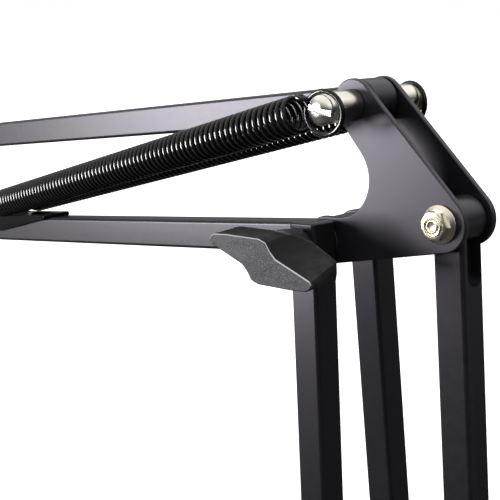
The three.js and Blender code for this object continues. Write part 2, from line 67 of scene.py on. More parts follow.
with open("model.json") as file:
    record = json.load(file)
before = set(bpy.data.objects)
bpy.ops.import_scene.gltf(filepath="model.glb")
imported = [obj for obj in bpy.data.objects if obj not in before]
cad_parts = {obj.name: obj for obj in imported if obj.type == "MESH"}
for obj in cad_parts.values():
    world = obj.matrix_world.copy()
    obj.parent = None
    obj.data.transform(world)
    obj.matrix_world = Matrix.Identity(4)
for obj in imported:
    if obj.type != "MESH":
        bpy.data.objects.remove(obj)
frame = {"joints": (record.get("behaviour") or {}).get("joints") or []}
CAD_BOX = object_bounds()
JOINTS = {joint["name"]: joint for joint in frame["joints"]}
MM = 0.001
WELD = 1e-4  # vertices nearer than this, in millimetres, are one


def pivot(joint):
    """Where a hinge's axis lies, in millimetres."""
    return Vector(JOINTS[joint]["pos_m"]) / MM


def middle(node):
    """The middle of a frame node's box, in millimetres."""
    low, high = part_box(node)
    return (low + high) / 2 / MM


def low_high(node, axis):
    """A frame node's lowest and highest place along an axis, in millimetres."""
    low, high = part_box(node)
    return low[axis] / MM, high[axis] / MM


# ---- Places, from the frame ----
PAIR = pivot("lower_arm")
ELBOW = pivot("upper_arm")
POSTS = pivot("upper_top_turn")
HEAD = pivot("head_turn")
SADDLE = pivot("upper_hook_swing")
SWIVEL = pivot("mic_tilt")
LOW_ANCHOR = pivot("lower_spring_swing")
CROSS_PIN = middle("lower_cross_pin")
BASE_BACK = pivot("lower_back_turn")
ELBOW_BACK = ELBOW + BASE_BACK - PAIR
HEAD_TOP = HEAD + POSTS - ELBOW
REACH = (ELBOW - PAIR).length

# ---- Driving sizes, in millimetres ----
TUBE = 13.0
WALL = 1.2
SPLAY = math.radians(1.83)
PAIR_TOP = 8.7
PAIR_TAIL = 10.0
PAIR_INNER = 11.5
PLATE = 2.5
PLATE_OUTER = 10.2
BASE_OUTER = 21.85
BOLT = 3.0
BOLT_HOLE = 3.3
WASHER_HOLE = 3.1
NUT_TALL = 4.8
BOLT_PROUD = 5.6  # a bolt's end, above the face that its nut stands on
BOSS_R = 8.8
SLOT = {"below": 19.8, "aside": 1.2, "half": 4.7, "deep": 5.0}  # in the back bar's outer face
BOSS_Y = 7.2
SPRING_Y = 27.4
LOOP_Y = 26.2  # the loops hang a little nearer to the plates than the coils
SCREW_SEAT = 27.6
LOOP_TURN = math.radians(10.5)  # each loop is twisted about the vertical
POST_DROP = 0.7
SLOT_TURN = {"front": -10, "rear": -50}  # the screws' slots, in degrees
COIL_R = 7.65
COIL_DROP = 0.3
COIL_START = 8.5
COIL_END = 263.0
LOW_SPRING_Y = 8.5
LOW_COIL_END = 158.0
HOOK_Y = 10.2
HOOK_R = 1.0
KNOB_FRONT = -46.0  # the elbow knob's front edges lie beyond this Y

FRONT = Matrix(((1, 0, 0), (0, 0, -1), (0, 1, 0))).to_4x4()  # drawn upright, facing -Y
REAR = Matrix(((-1, 0, 0), (0, 0, 1), (0, 1, 0))).to_4x4()  # drawn upright, facing +Y
FLIP = Matrix.Rotation(math.pi, 4, "X")  # upside down
SIDES = (("front", -1, FRONT), ("rear", 1, REAR))


# ---- Settings a user would change ----
class BoomArmSettings(bpy.types.PropertyGroup):
    """Sizes and colours of the visible pieces."""
    tube_corner: FloatProperty(name="Tube corner", description="Corner radius of the square tubes, mm",
                               default=1.5, min=0.4, max=3.0)
    plate_edge: FloatProperty(name="Plate edge", description="Rounding of the stamped plates' edges, mm",
                              default=0.55, min=0.1, max=1.2)
    coil_pitch: FloatProperty(name="Coil pitch", description="Pitch of the upper springs' turns, mm",
                              default=3.2, min=2.4, max=4.0)
    coil_wire: FloatProperty(name="Coil wire", description="Wire radius of the upper springs, mm",
                             default=1.0, min=0.5, max=1.3)
    loop_sag: FloatProperty(name="Loop sag", description="How far the loops hang on their posts, mm",
                            default=2.3, min=0.0, max=2.6)
    low_pitch: FloatProperty(name="Lower coil pitch", description="Pitch of the lower springs' turns, mm",
                             default=2.4, min=1.9, max=4.0)
    knob_edge: FloatProperty(name="Knob edge", description="Bevel along the wing knob's edges, mm",
                             default=0.55, min=0.1, max=1.0)
    wire_sides: IntProperty(name="Wire sides", description="Facets around the spring wire", default=10,
                            min=6, max=16)
    paint: FloatVectorProperty(name="Paint", description="Satin black of the tubes", subtype="COLOR",
                               size=3, default=(0.0100, 0.0094, 0.0108), min=0, max=1)
    powder: FloatVectorProperty(name="Powder coat", description="Satin black of the plates",
                                subtype="COLOR", size=3, default=(0.0120, 0.0113, 0.0130), min=0, max=1)
    lacquer: FloatVectorProperty(name="Lacquer", description="Gloss black of the springs",
                                 subtype="COLOR", size=3, default=(0.003, 0.003, 0.003), min=0, max=1)
    nickel: FloatVectorProperty(name="Nickel", description="Plating of posts, nuts and screws",
                                subtype="COLOR", size=3, default=(0.86, 0.83, 0.77), min=0, max=1)
    plastic: FloatVectorProperty(name="Knob plastic", description="Moulded black of the knobs",
                                 subtype="COLOR", size=3, default=(0.008, 0.008, 0.009), min=0, max=1)
    floor: FloatVectorProperty(name="Floor", description="Pale studio floor", subtype="COLOR", size=3,
                               default=(0.82, 0.82, 0.82), min=0, max=1)


def settings():
    """The sizes and colours now set in the scene."""
    return bpy.context.scene.boom_arm


# ---- Outlines ----
ARC_STEP = math.radians(7)


def rounded(points, radius, steps=4, closed=True):
    """The points with each corner turned into an arc; a point's third number is its own radius."""
    result = []
    count = len(points)
    for i, point in enumerate(points):
        here = Vector(point[:2])
        if not closed and i in (0, count - 1):
            result.append(here)
            continue
        to_last = Vector(points[i - 1][:2]) - here
        to_next = Vector(points[(i + 1) % count][:2]) - here
        own = point[2] if len(point) > 2 else radius
        half = to_last.angle(to_next, math.pi) / 2
        if own <= 0 or half > math.radians(89):
            result.append(here)
            continue
        back = min(own / math.tan(half), 0.48 * to_last.length, 0.48 * to_next.length)
        own = back * math.tan(half)
        centre = here + (to_last.normalized() + to_next.normalized()).normalized() * own / math.sin(half)
        first = here + to_last.normalized() * back - centre
        last = here + to_next.normalized() * back - centre
        turn = first.angle_signed(last)
        for k in range(steps + 1):
            result.append(centre + Matrix.Rotation(-turn * k / steps, 2) @ first)
    return result


def wrap(circles):
    """The outline that wraps circles (x, z, r) anticlockwise; a negative r is a hollow."""
    count = len(circles)
    normals = []
    for i, (x, z, r) in enumerate(circles):
        nx, nz, nr = circles[(i + 1) % count]
        gap = math.hypot(nx - x, nz - z)
        normals.append(math.atan2(nz - z, nx - x) - math.acos((r - nr) / gap))
    points = []
    for i, (x, z, r) in enumerate(circles):
        start = normals[i - 1]
        turn = math.fmod(normals[i] - start, 2 * math.pi)
        if r > 0 > turn:
            turn += 2 * math.pi
        if r < 0 < turn:
            turn -= 2 * math.pi
        steps = max(1, math.ceil(abs(turn) / ARC_STEP))
        for k in range(steps + 1):
            angle = start + turn * k / steps
            points.append(Vector((x + r * math.cos(angle), z + r * math.sin(angle))))
    return points


def circle(x, z, r, sides=32):
    """The outline of a round hole."""
    angles = [2 * math.pi * k / sides for k in range(sides)]
    return [Vector((x + r * math.cos(a), z + r * math.sin(a))) for a in angles]


# ---- Meshes, in millimetres ----
def ring_faces(bm, rings, closed_along=False):
    """Quads between rings of vertices; a ring of one vertex is a tip."""
    pairs = list(zip(rings, rings[1:]))
    if closed_along:
        pairs.append((rings[-1], rings[0]))
    for low, high in pairs:
        count = max(len(low), len(high))
        for i in range(count):
            j = (i + 1) % count
            corners = [low[i % len(low)], low[j % len(low)], high[j % len(high)], high[i % len(high)]]
            unique = list(dict.fromkeys(corners))
            if len(unique) > 2:
                bm.faces.new(unique)


def turned(profile, segments=48, closed=False):
    """A body turned on Z from (radius, height) pairs."""
    bm = bmesh.new()
    rings = []
    for radius, height in profile:
        if radius < 1e-6:
            rings.append([bm.verts.new((0, 0, height))])
            continue
        angles = [2 * math.pi * k / segments for k in range(segments)]
        rings.append([bm.verts.new((radius * math.cos(a), radius * math.sin(a), height)) for a in angles])
    ring_faces(bm, rings, closed_along=closed)
    return bm


def lathed(corners, radius, steps=4, segments=48, closed=False):
    """A body turned on Z from (radius, height) corners, each of them rounded."""
    profile = rounded(corners, radius, steps, closed)
    return turned([(p.x, p.y) for p in profile], segments, closed)


def lofted(outlines, heights):
    """Walls through outlines of equal count at rising heights, with flat ends."""
    bm = bmesh.new()
    rings = [[bm.verts.new((p[0], p[1], z)) for p in outline] for outline, z in zip(outlines, heights)]
    ring_faces(bm, rings)
    bm.faces.new(list(reversed(rings[0])))
    bm.faces.new(rings[-1])
    return bm


def held(data):
    """An object that holds a mesh or a curve while it is worked on."""
    holder = bpy.data.objects.new("work", data)
    bpy.context.scene.collection.objects.link(holder)
    return holder


def solid(bm):
    """A mesh of the body with its faces turned outward."""
    bmesh.ops.recalc_face_normals(bm, faces=bm.faces)
    mesh = bpy.data.meshes.new("work")
    bm.to_mesh(mesh)
    bm.free()
    return mesh


def worked(*holders):
    """The first holder's final shape; all the holders are then removed."""
    bpy.context.view_layer.update()
    graph = bpy.context.evaluated_depsgraph_get()
    mesh = bpy.data.meshes.new_from_object(holders[0].evaluated_get(graph))
    result = bmesh.new()
    result.from_mesh(mesh)
    bpy.data.meshes.remove(mesh)
    for holder in holders:
        data = holder.data
        bpy.data.objects.remove(holder)
        store = bpy.data.curves if isinstance(data, bpy.types.Curve) else bpy.data.meshes
        store.remove(data)
    return result


def slab(outline, holes, z0, z1, edge):
    """A flat plate with rounded edges between two heights."""
    curve = bpy.data.curves.new("slab", "CURVE")
    curve.dimensions = "2D"
    curve.fill_mode = "BOTH"
    for loop in [outline, *holes]:
        spline = curve.splines.new("POLY")
        spline.points.add(len(loop) - 1)
        for point, place in zip(spline.points, loop):
            point.co = (place[0], place[1], 0, 1)
        spline.use_cyclic_u = True
    curve.bevel_depth = edge
    curve.bevel_resolution = 3
    curve.offset = -edge
    curve.extrude = (z1 - z0) / 2 - edge
    bm = worked(held(curve))
    bmesh.ops.remove_doubles(bm, verts=bm.verts, dist=WELD)
    bm.transform(Matrix.Translation((0, 0, (z0 + z1) / 2)))
    return bm


def wire(points, radius, sides):
    """A round wire along points, with softened ends."""
    bm = bmesh.new()
    places = [Vector(p) for p in points]
    count = len(places)
    tangents = []
    for i in range(count):
        after = places[min(i + 1, count - 1)]
        tangents.append((after - places[max(i - 1, 0)]).normalized())
    normal = tangents[0].orthogonal().normalized()
    rings = []
    for place, tangent in zip(places, tangents):
        normal = (normal - tangent * normal.dot(tangent)).normalized()
        side = tangent.cross(normal)
        ring = []
        for k in range(sides):
            angle = 2 * math.pi * k / sides
            out = normal * math.cos(angle) + side * math.sin(angle)
            ring.append(bm.verts.new(place + out * radius))
        rings.append(ring)
    ring_faces(bm, rings)
    for ring in (list(reversed(rings[0])), rings[-1]):
        cap = bm.faces.new(ring)
        bmesh.ops.inset_individual(bm, faces=[cap], thickness=0.3 * radius, depth=0.25 * radius)
    return bm


def joined(*parts):
    """One mesh from several, each a mesh or a (mesh, matrix) pair."""
    whole = bmesh.new()
    for part in parts:
        body, place = part if isinstance(part, tuple) else (part, Matrix())
        body.transform(place)
        scratch = bpy.data.meshes.new("part")
        body.to_mesh(scratch)
        whole.from_mesh(scratch)
        body.free()
        bpy.data.meshes.remove(scratch)
    return whole


def boolean(body, tool):
    """The body with the tool cut from it."""
    holder, cutter = held(solid(body)), held(solid(tool))
    cut = holder.modifiers.new("cut", "BOOLEAN")
    cut.operation = "DIFFERENCE"
    cut.solver = "EXACT"
    cut.object = cutter
    return worked(holder, cutter)


def block(x, y, z):
    """A plain box between (low, high) pairs, as a tool for cutting or a start for shaping."""
    bm = bmesh.new()
    bmesh.ops.create_cube(bm, size=1)
    size = Matrix.Diagonal((x[1] - x[0], y[1] - y[0], z[1] - z[0], 1))
    bm.transform(Matrix.Translation(((x[0] + x[1]) / 2, (y[0] + y[1]) / 2, (z[0] + z[1]) / 2)) @ size)
    return bm


def softened(bm, width, segments=3, angle=30):
    """The mesh with its sharp edges rounded."""
    holder = held(solid(bm))
    bevel = holder.modifiers.new("bevel", "BEVEL")
    bevel.width = width
    bevel.segments = segments
    bevel.limit_method = "ANGLE"
    bevel.angle_limit = math.radians(angle)
    return worked(holder)


def spot(place, turn=Matrix()):
    """A placing matrix: a turn, then a place in millimetres."""
    return Matrix.Translation(Vector(place)) @ turn.to_4x4()


def aimed(origin, direction):
    """Axes at origin with Z along direction and Y near the pivots' own direction."""
    z = Vector(direction).normalized()
    y = Vector((0, 1, 0))
    y = (y - z * y.dot(z)).normalized()
    x = y.cross(z)
    return Matrix.Translation(Vector(origin)) @ Matrix((x, y, z)).transposed().to_4x4()


def weigh_normals(made):
    """Bakes normals weighted by face area, so that flat faces look flat up to their rounded edges."""
    weigh = made.modifiers.new("weigh", "WEIGHTED_NORMAL")
    weigh.keep_sharp = True
    weigh.weight = 80
    bpy.context.view_layer.update()
    plain = made.data
    graph = bpy.context.evaluated_depsgraph_get()
    weighed = bpy.data.meshes.new_from_object(made.evaluated_get(graph), depsgraph=graph)
    made.modifiers.clear()
    made.data = weighed
    bpy.data.meshes.remove(plain)
    weighed.name = made.name


def piece(name, bm, place, body, finish, smooth=38, even=True):
    """A finished piece: placed, painted, and riding on its body in the stead of its frame node."""
    slot, material = finish
    bmesh.ops.remove_doubles(bm, verts=bm.verts, dist=WELD)
    bmesh.ops.recalc_face_normals(bm, faces=bm.faces)
    bm.transform(Matrix.Scale(MM, 4) @ place)
    mesh = bpy.data.meshes.new(name)
    bm.to_mesh(mesh)
    bm.free()
    for polygon in mesh.polygons:
        polygon.use_smooth = True
    mesh.set_sharp_from_angle(angle=math.radians(smooth))
    made = bpy.data.objects.new(name, mesh)
    bpy.context.scene.collection.objects.link(made)
    if even:
        weigh_normals(made)
        mesh = made.data
    mesh.materials.append(material())
    if body:
        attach(made, body)
    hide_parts(name)
    return made


# ---- Shader node groups ----
class Shader:
    """Places nodes and joins their sockets in one node tree."""

    def __init__(self, tree):
        self.tree = tree

    def node(self, kind, inputs=None, **values):
        made = self.tree.nodes.new(kind)
        for key, value in values.items():
            setattr(made, key, value)
        for key, value in (inputs or {}).items():
            if isinstance(value, bpy.types.NodeSocket):
                self.tree.links.new(value, made.inputs[key])
            else:
                made.inputs[key].default_value = value
        return made

    def ramp(self, value, *stops):
        """A value through a ramp of (place, grey) stops."""
        made = self.node("ShaderNodeValToRGB", {"Fac": value})
        band = made.color_ramp
        while len(band.elements) < len(stops):
            band.elements.new(0.5)
        for element, (place, grey) in zip(band.elements, stops):
            element.position = place
            element.color = (grey, grey, grey, 1)
        return made.outputs["Color"]

    def place(self):
        """The surface's place on its own object."""
        return self.node("ShaderNodeTexCoord").outputs["Object"]

    def noise(self, place, scale, detail):
        made = self.node("ShaderNodeTexNoise", {"Vector": place, "Scale": scale, "Detail": detail})
        return made.outputs["Fac"]

    def behind(self, place):
        """How far a place or a direction lies towards the backdrop."""
        made = self.node("ShaderNodeVectorMath", {0: place, 1: BEHIND}, operation="DOT_PRODUCT")
        return made.outputs["Value"]

    def maths(self, operation, *values):
        return self.node("ShaderNodeMath", dict(enumerate(values)), operation=operation).outputs[0]

    def mix(self, factor, first, second):
        """A colour between two; 0, 6 and 7 are the node's factor and colour inputs."""
        return self.node("ShaderNodeMix", {0: factor, 6: first, 7: second}, data_type="RGBA").outputs[2]


def effect(name, inputs, outputs, fill):
    """A shader node group, made once: inputs are (name, default), outputs are names."""
    if name in bpy.data.node_groups:
        return bpy.data.node_groups[name]
    tree = bpy.data.node_groups.new(name, "ShaderNodeTree")
    for label, default in inputs:
        made = tree.interface.new_socket(label, in_out="INPUT", socket_type="NodeSocketFloat")
        made.default_value = default
    for label in outputs:
        tree.interface.new_socket(label, in_out="OUTPUT", socket_type="NodeSocketFloat")
    shader = Shader(tree)
    entry = shader.node("NodeGroupInput")
    leave = shader.node("NodeGroupOutput")
    for label, value in zip(outputs, fill(shader, entry.outputs)):
        tree.links.new(value, leave.inputs[label])
    return tree


def coat_grain():
    """Fine orange peel of a sprayed coat, with broad cloudy patches."""
    def fill(shader, given):
        place = shader.place()
        fine = shader.noise(place, given["Scale"], 3.0)
        broad = shader.noise(place, given["Patches"], 2.0)
        return shader.ramp(fine, (0.32, 0.0), (0.68, 1.0)), shader.ramp(broad, (0.3, 0.0), (0.72, 1.0))
    return effect("Coat grain", [("Scale", 1400.0), ("Patches", 22.0)], ["Height", "Cloud"], fill)


def edge_wear_and_highlight():
    """Where the coat is thin and rubbed, and where a painted highlight runs along the edges: along convex
    edges, broken up by noise.
    """
    def fill(shader, given):
        keen = shader.node("ShaderNodeNewGeometry").outputs["Pointiness"]
        edge = shader.node("ShaderNodeMapRange", {
            "Value": keen, "From Min": given["From"], "From Max": given["To"]}).outputs["Result"]
        broken = shader.ramp(shader.noise(shader.place(), 260.0, 4.0), (0.35, 0.25), (0.62, 1.0))
        mask = shader.maths("MULTIPLY", edge, broken)
        return [shader.maths("MULTIPLY", mask, given["Amount"])]
    return effect("Edge wear and highlight", [("From", 0.52), ("To", 0.62), ("Amount", 1.0)], ["Mask"], fill)


def settled_dust():
    """Fine dust on surfaces that face up, with scattered specks."""
    def fill(shader, given):
        facing = shader.node("ShaderNodeNewGeometry").outputs["Normal"]
        up = shader.node("ShaderNodeSeparateXYZ", {"Vector": facing}).outputs["Z"]
        upward = shader.ramp(up, (0.45, 0.0), (0.95, 1.0))
        patch = shader.ramp(shader.noise(shader.place(), 90.0, 6.0), (0.4, 0.3), (0.7, 1.0))
        mask = shader.maths("MULTIPLY", upward, patch)
        return [shader.maths("MULTIPLY", mask, given["Amount"])]
    return effect("Settled dust", [("Amount", 0.3)], ["Mask"], fill)


def pebbles():
    """The crazed grain of a spark-eroded mould: a height, and a mask for painted glints on the grains'
    tops.
    """
    def fill(shader, given):
        place = shader.place()
        cells = shader.node("ShaderNodeTexVoronoi", {"Vector": place, "Scale": given["Scale"]})
        grains = shader.noise(place, given["Scale"], 4.0)
        height = shader.maths("ADD", cells.outputs["Distance"], grains)
        return height, shader.ramp(grains, (0.54, 0.0), (0.66, 1.0))
    return effect("Pebbles", [("Scale", 900.0)], ["Height", "Painted glint"], fill)


def polish_lines():
    """Fine marks of turning and tumbling, with faint stains."""
    def fill(shader, given):
        place = shader.place()
        stretch = shader.node("ShaderNodeMapping", {"Vector": place, "Scale": (1.0, 14.0, 1.0)})
        lines = shader.noise(stretch.outputs["Vector"], given["Scale"], 5.0)
        stain = shader.noise(place, 120.0, 3.0)
        return shader.ramp(lines, (0.3, 0.0), (0.7, 1.0)), shader.ramp(stain, (0.45, 0.0), (0.75, 1.0))
    return effect("Polish lines", [("Scale", 300.0)], ["Lines", "Stain"], fill)


# ---- Materials ----
SATIN = {"Specular IOR Level": 0.56, "Specular Tint": (0.915, 0.86, 1.0, 1)}  # leans a little to violet
GLOSS = {"Specular IOR Level": 0.15, "Coat Weight": 0.25, "Coat Roughness": 0.06}
# Pale grey for rubbed edges, also used as a painted highlight along edges.
BARE_METAL_AND_EDGE_LIGHT = (0.16, 0.155, 0.15, 1)
DUST = (0.17, 0.165, 0.14, 1)


def new_material(name, fill):
    """A material made once; fill sets the shader's inputs."""
    found = bpy.data.materials.get(name)
    if found:
        return found
    material = bpy.data.materials.new(name)
    material.use_nodes = True
    tree = material.node_tree
    fill(Shader(tree), tree.nodes["Principled BSDF"])
    return material


def use(shader, group, **inputs):
    """A shared effect placed in a material with its own values."""
    made = shader.node("ShaderNodeGroup")
    made.node_tree = group
    for key, value in inputs.items():
        made.inputs[key].default_value = value
    return made.outputs


def bump(shader, height, strength, distance):
    """A bump from a height, with its distance in millimetres."""
    made = shader.node("ShaderNodeBump", {
        "Height": height, "Strength": strength, "Distance": distance * MM})
    return made.outputs["Normal"]


def dress(shader, surface, colour, rough, normal, plain):
    """Feeds the sockets that change over the surface, and sets the plain ones."""
    for key, value in (("Base Color", colour), ("Roughness", rough), ("Normal", normal)):
        shader.tree.links.new(value, surface.inputs[key])
    for key, value in plain.items():
        surface.inputs[key].default_value = value


def coated(name, colour, rough, grain, strength, wear, dust, plain):
    """A sprayed coat: cloudy colour, orange peel, edges that are rubbed and carry a painted highlight, and
    dust on top.
    """
    def fill(shader, surface):
        coat = use(shader, coat_grain(), Scale=grain)
        rubbed_and_lit_edge = use(shader, edge_wear_and_highlight(), Amount=wear)["Mask"]
        dusty = use(shader, settled_dust(), Amount=dust)["Mask"]
        deep = (*[c * 0.94 for c in colour], 1)
        pale = (*[c * 1.06 for c in colour], 1)
        base = shader.mix(coat["Cloud"], deep, pale)
        # Edges turn pale grey: rubbed bare metal, and a painted highlight along the rims.
        base = shader.mix(dusty, shader.mix(rubbed_and_lit_edge, base, BARE_METAL_AND_EDGE_LIGHT), DUST)
        spread = shader.maths("MULTIPLY_ADD", coat["Cloud"], 0.014, rough - 0.007)
        spread = shader.maths("MULTIPLY_ADD", dusty, 0.2, spread)
        dress(shader, surface, base, spread, bump(shader, coat["Height"], strength, 0.04), plain)
    return new_material(name, fill)


def tube_paint():
    return coated("satin_tube_paint", settings().paint, 0.318, 1100.0, 0.05, 0.06, 0.06, SATIN)


def powder_coat():
    # Its strong edge amount paints a light line along the plates' rims: a painted highlight as well as
    # wear.
    return coated("satin_powder_coat", settings().powder, 0.358, 1300.0, 0.12, 0.8, 0.06, SATIN)


def spring_lacquer():
    return coated("gloss_spring_lacquer", settings().lacquer, 0.17, 1500.0, 0.02, 0.02, 0.03, GLOSS)


def plated(name, colour, rough, stain):
    """Plated metal: turning marks, stains, and edges polished by handling."""
    def fill(shader, surface):
        marks = use(shader, polish_lines(), Scale=420.0)
        worn_and_lit_edge = use(shader, edge_wear_and_highlight(), Amount=0.5)["Mask"]
        dull = (*[c * s for c, s in zip(colour, stain)], 1)
        base = shader.mix(marks["Stain"], (*colour, 1), dull)
        base = shader.mix(worn_and_lit_edge, base, (0.9, 0.88, 0.84, 1))
        spread = shader.maths("MULTIPLY_ADD", marks["Lines"], 0.12, rough)
        dress(shader, surface, base, spread, bump(shader, marks["Lines"], 0.15, 0.01), {"Metallic": 1.0})
    return new_material(name, fill)


def polished_nickel():
    return plated("polished_nickel", settings().nickel, 0.15, (0.84, 0.80, 0.70))


def zinc_plate():
    colour = [c * f for c, f in zip(settings().nickel, (1.0, 0.97, 0.86))]
    return plated("yellowed_zinc_plate", colour, 0.20, (0.82, 0.76, 0.56))


def knob_parts(shader):
    """Masks over a moulded knob: its front face, and a painted highlight along the upper part of that
    face's rim.
    """
    places = shader.node("ShaderNodeTexCoord").outputs
    parts = shader.node("ShaderNodeSeparateXYZ", {"Vector": places["Normal"]}).outputs
    depth = shader.node("ShaderNodeSeparateXYZ", {"Vector": places["Object"]}).outputs["Y"]
    towards = shader.maths("MULTIPLY", parts["Y"], -1.0)
    face = shader.ramp(towards, (0.86, 0.0), (0.96, 1.0))
    # Painted highlight: the rim's upper part, where the bevel catches the light.
    rim = shader.ramp(towards, (0.62, 0.0), (0.72, 1.0), (0.93, 1.0), (0.985, 0.0))
    upper = shader.ramp(parts["Z"], (0.06, 0.0), (0.2, 1.0))
    front = shader.maths("LESS_THAN", depth, KNOB_FRONT * MM)
    return face, shader.maths("MULTIPLY", shader.maths("MULTIPLY", rim, upper), front)


def knob_plastic():
    def fill(shader, surface):
        grain = use(shader, pebbles(), Scale=2600.0)
        worn_and_lit_edge = use(shader, edge_wear_and_highlight(), From=0.51, To=0.56, Amount=1.0)["Mask"]
        dusty = use(shader, settled_dust(), Amount=0.05)["Mask"]
        face, rim = knob_parts(shader)
        # Painted glints: the grain tops on the front face are coloured pale, in place of light sparkling on
        # them.
        painted_glints = shader.maths("MULTIPLY", grain["Painted glint"], face)
        base = shader.mix(face, (*settings().plastic, 1), (0.062, 0.061, 0.070, 1))
        base = shader.mix(painted_glints, base, (0.26, 0.26, 0.30, 1))
        # Edges coloured lighter grey: worn edges, and a painted highlight along the bevels.
        base = shader.mix(worn_and_lit_edge, base, (0.10, 0.10, 0.10, 1))
        # A painted highlight: the upper rim of the front face is coloured pale grey.
        base = shader.mix(rim, base, (0.6, 0.6, 0.63, 1))
        base = shader.mix(dusty, base, (0.15, 0.15, 0.13, 1))
        rough = shader.maths("MULTIPLY_ADD", face, 0.05, 0.46)
        rough = shader.maths("MULTIPLY_ADD", worn_and_lit_edge, -0.22, rough)
        height = shader.maths("MULTIPLY", grain["Height"], shader.maths("MULTIPLY_ADD", face, 0.9, 0.1))
        dress(shader, surface, base, rough, bump(shader, height, 0.55, 0.12), {"Specular IOR Level": 0.16})
    return new_material("pebbled_knob_plastic", fill)


def pad_rubber():
    def fill(shader, surface):
        grain = use(shader, coat_grain(), Scale=2200.0)
        dusty = use(shader, settled_dust(), Amount=0.5)["Mask"]
        base = shader.mix(grain["Cloud"], (0.014, 0.014, 0.014, 1), (0.028, 0.027, 0.026, 1))
        base = shader.mix(dusty, base, (0.12, 0.12, 0.11, 1))
        rough = shader.maths("MULTIPLY_ADD", grain["Height"], 0.1, 0.72)
        dress(shader, surface, base, rough, bump(shader, grain["Height"], 0.4, 0.08), {})
    return new_material("matt_pad_rubber", fill)


TUBES = ("black_tube", tube_paint)
STEEL = ("black_steel", powder_coat)
COILS = ("spring_black", spring_lacquer)
NICKEL = ("plated_steel", polished_nickel)
ZINC = ("plated_steel", zinc_plate)
PLASTIC = ("knob_black", knob_plastic)
RUBBER = ("pad_rubber", pad_rubber)


# ---- Fasteners, drawn with Z out of the face that they stand on ----
def threaded(radius, z0, z1, pitch=1.0, depth=0.55, point=0.8):
    """A (radius, height) profile of thread rings from z0 up to a chamfered end at z1."""
    profile = [(radius, z0)]
    turns = int((z1 - point - z0) / pitch)
    for k in range(turns):
        start = z0 + k * pitch
        profile += [(radius, start + 0.12 * pitch), (radius - depth, start + 0.5 * pitch),
                    (radius, start + 0.88 * pitch)]
    profile += [(radius, z1 - point), (radius - point, z1)]
    return profile


def hexagon(flats, z0, z1, bore=0.0):
    """A hexagon with its corners cut by a cone at the top, as on a nut or a bolt head."""
    sides = 72
    apothem = flats / 2
    crest = apothem * 0.97
    slope = math.tan(math.radians(30))
    sixth = math.pi / 3
    angles = [2 * math.pi * k / sides for k in range(sides)]
    corners = [apothem / math.cos((a + sixth / 2) % sixth - sixth / 2) for a in angles]
    bm = bmesh.new()
    rings = []

    def ring(radii, heights):
        rings.append([bm.verts.new((r * math.cos(a), r * math.sin(a), z))
                      for a, r, z in zip(angles, radii, heights)])

    if bore:
        ring([bore] * sides, [z0] * sides)
    ring(corners, [z0] * sides)
    ring(corners, [z1 - max(0.0, r - crest) * slope for r in corners])
    ring([crest] * sides, [z1] * sides)
    if bore:
        ring([bore + 0.9] * sides, [z1] * sides)
        ring([bore] * sides, [z1 - 0.9] * sides)
    else:
        bm.faces.new(list(reversed(rings[0])))
        bm.faces.new(rings[-1])
    ring_faces(bm, rings, closed_along=bool(bore))
    return bm


def flange_nut():
    """An M6 flange nut with its washer face on the plate."""
    flange = [(BOLT, 0), (7.2, 0), (7.2, 0.8), (5.5, 1.6), (BOLT, 1.6)]
    flange = lathed(flange, 0.25, segments=64, closed=True)
    crown = [(BOLT, 4), (3.9, 4, 0), (3.9, 5.3, 0.4), (3.2, 5.3, 0.3), (BOLT, 5.0, 0)]
    crown = lathed(crown, 0.2, 3, closed=True)
    return joined(flange, crown, hexagon(10.0, 1.2, NUT_TALL, bore=BOLT + 0.05))


def bolt_end(z0, z1):
    """The threaded end of a bolt, dished at its tip."""
    tip = [(1.9, z1), (1.5, z1 - 0.5), (0, z1 - 0.8)]
    return turned(threaded(BOLT, z0, z1) + tip, 40)


def bolt_head():
    """A hexagon head on a washer face, with a shallow dish."""
    tall = 4.4
    face = lathed([(0, 0), (6.1, 0), (6.1, 0.6), (0, 0.6)], 0.15, segments=56)
    head = hexagon(10.0, 0.5, tall)
    dish = turned([(0, tall - 0.5), (3.1, tall - 0.5), (3.5, tall + 0.2), (0, tall + 0.2)], 48)
    return joined(face, boolean(head, dish))


def rivet_head(radius, tall):
    """A low dome with a rolled rim and a small punch mark."""
    profile = [(0, tall - 0.25), (0.7, tall - 0.05), (radius * 0.45, tall - 0.02)]
    for k in range(1, 7):
        angle = math.radians(15 * k)
        profile.append((radius * (0.45 + 0.55 * math.sin(angle)), (tall - 0.45) * math.cos(angle) + 0.43))
    profile += [(radius, 0.0), (0, 0.0)]
    return turned(profile, 48)


def plain_pin(radius, z0, z1):
    """A pin or spacer shank with softened ends."""
    return lathed([(0, z0), (radius, z0), (radius, z1), (0, z1)], 0.3, 2, 40)


def bushing(outer, inner, z0, z1, edge=0.35):
    """A ring with softened rims."""
    return lathed([(inner, z0), (outer, z0), (outer, z1), (inner, z1)], edge, 3, 56, closed=True)


def both_ways(make, reach=0.0):
    """Two of a shape that point up and down from the middle, each at a reach from it."""
    return [(make(), turn @ Matrix.Translation((0, 0, reach))) for turn in (Matrix(), FLIP)]


def through_bolt(name, place, head_seat, front_end, body):
    """A bolt along Y: its head against head_seat at the rear, its threaded end at the front."""
    shank = plain_pin(BOLT - 0.02, -head_seat - 0.2, front_end - 3)
    end = bolt_end(front_end - 4.6, front_end)
    head = (bolt_head(), Matrix.Translation((0, 0, -head_seat)) @ FLIP)
    piece(name, joined(shank, end, head), spot(place, FRONT), body, ZINC)


def front_nut(name, place, seat, body, turn):
    """A flange nut on the front face, turned by some degrees."""
    lift = Matrix.Translation((0, 0, seat)) @ Matrix.Rotation(math.radians(turn), 4, "Z")
    piece(name, flange_nut(), spot(place, FRONT) @ lift, body, ZINC)


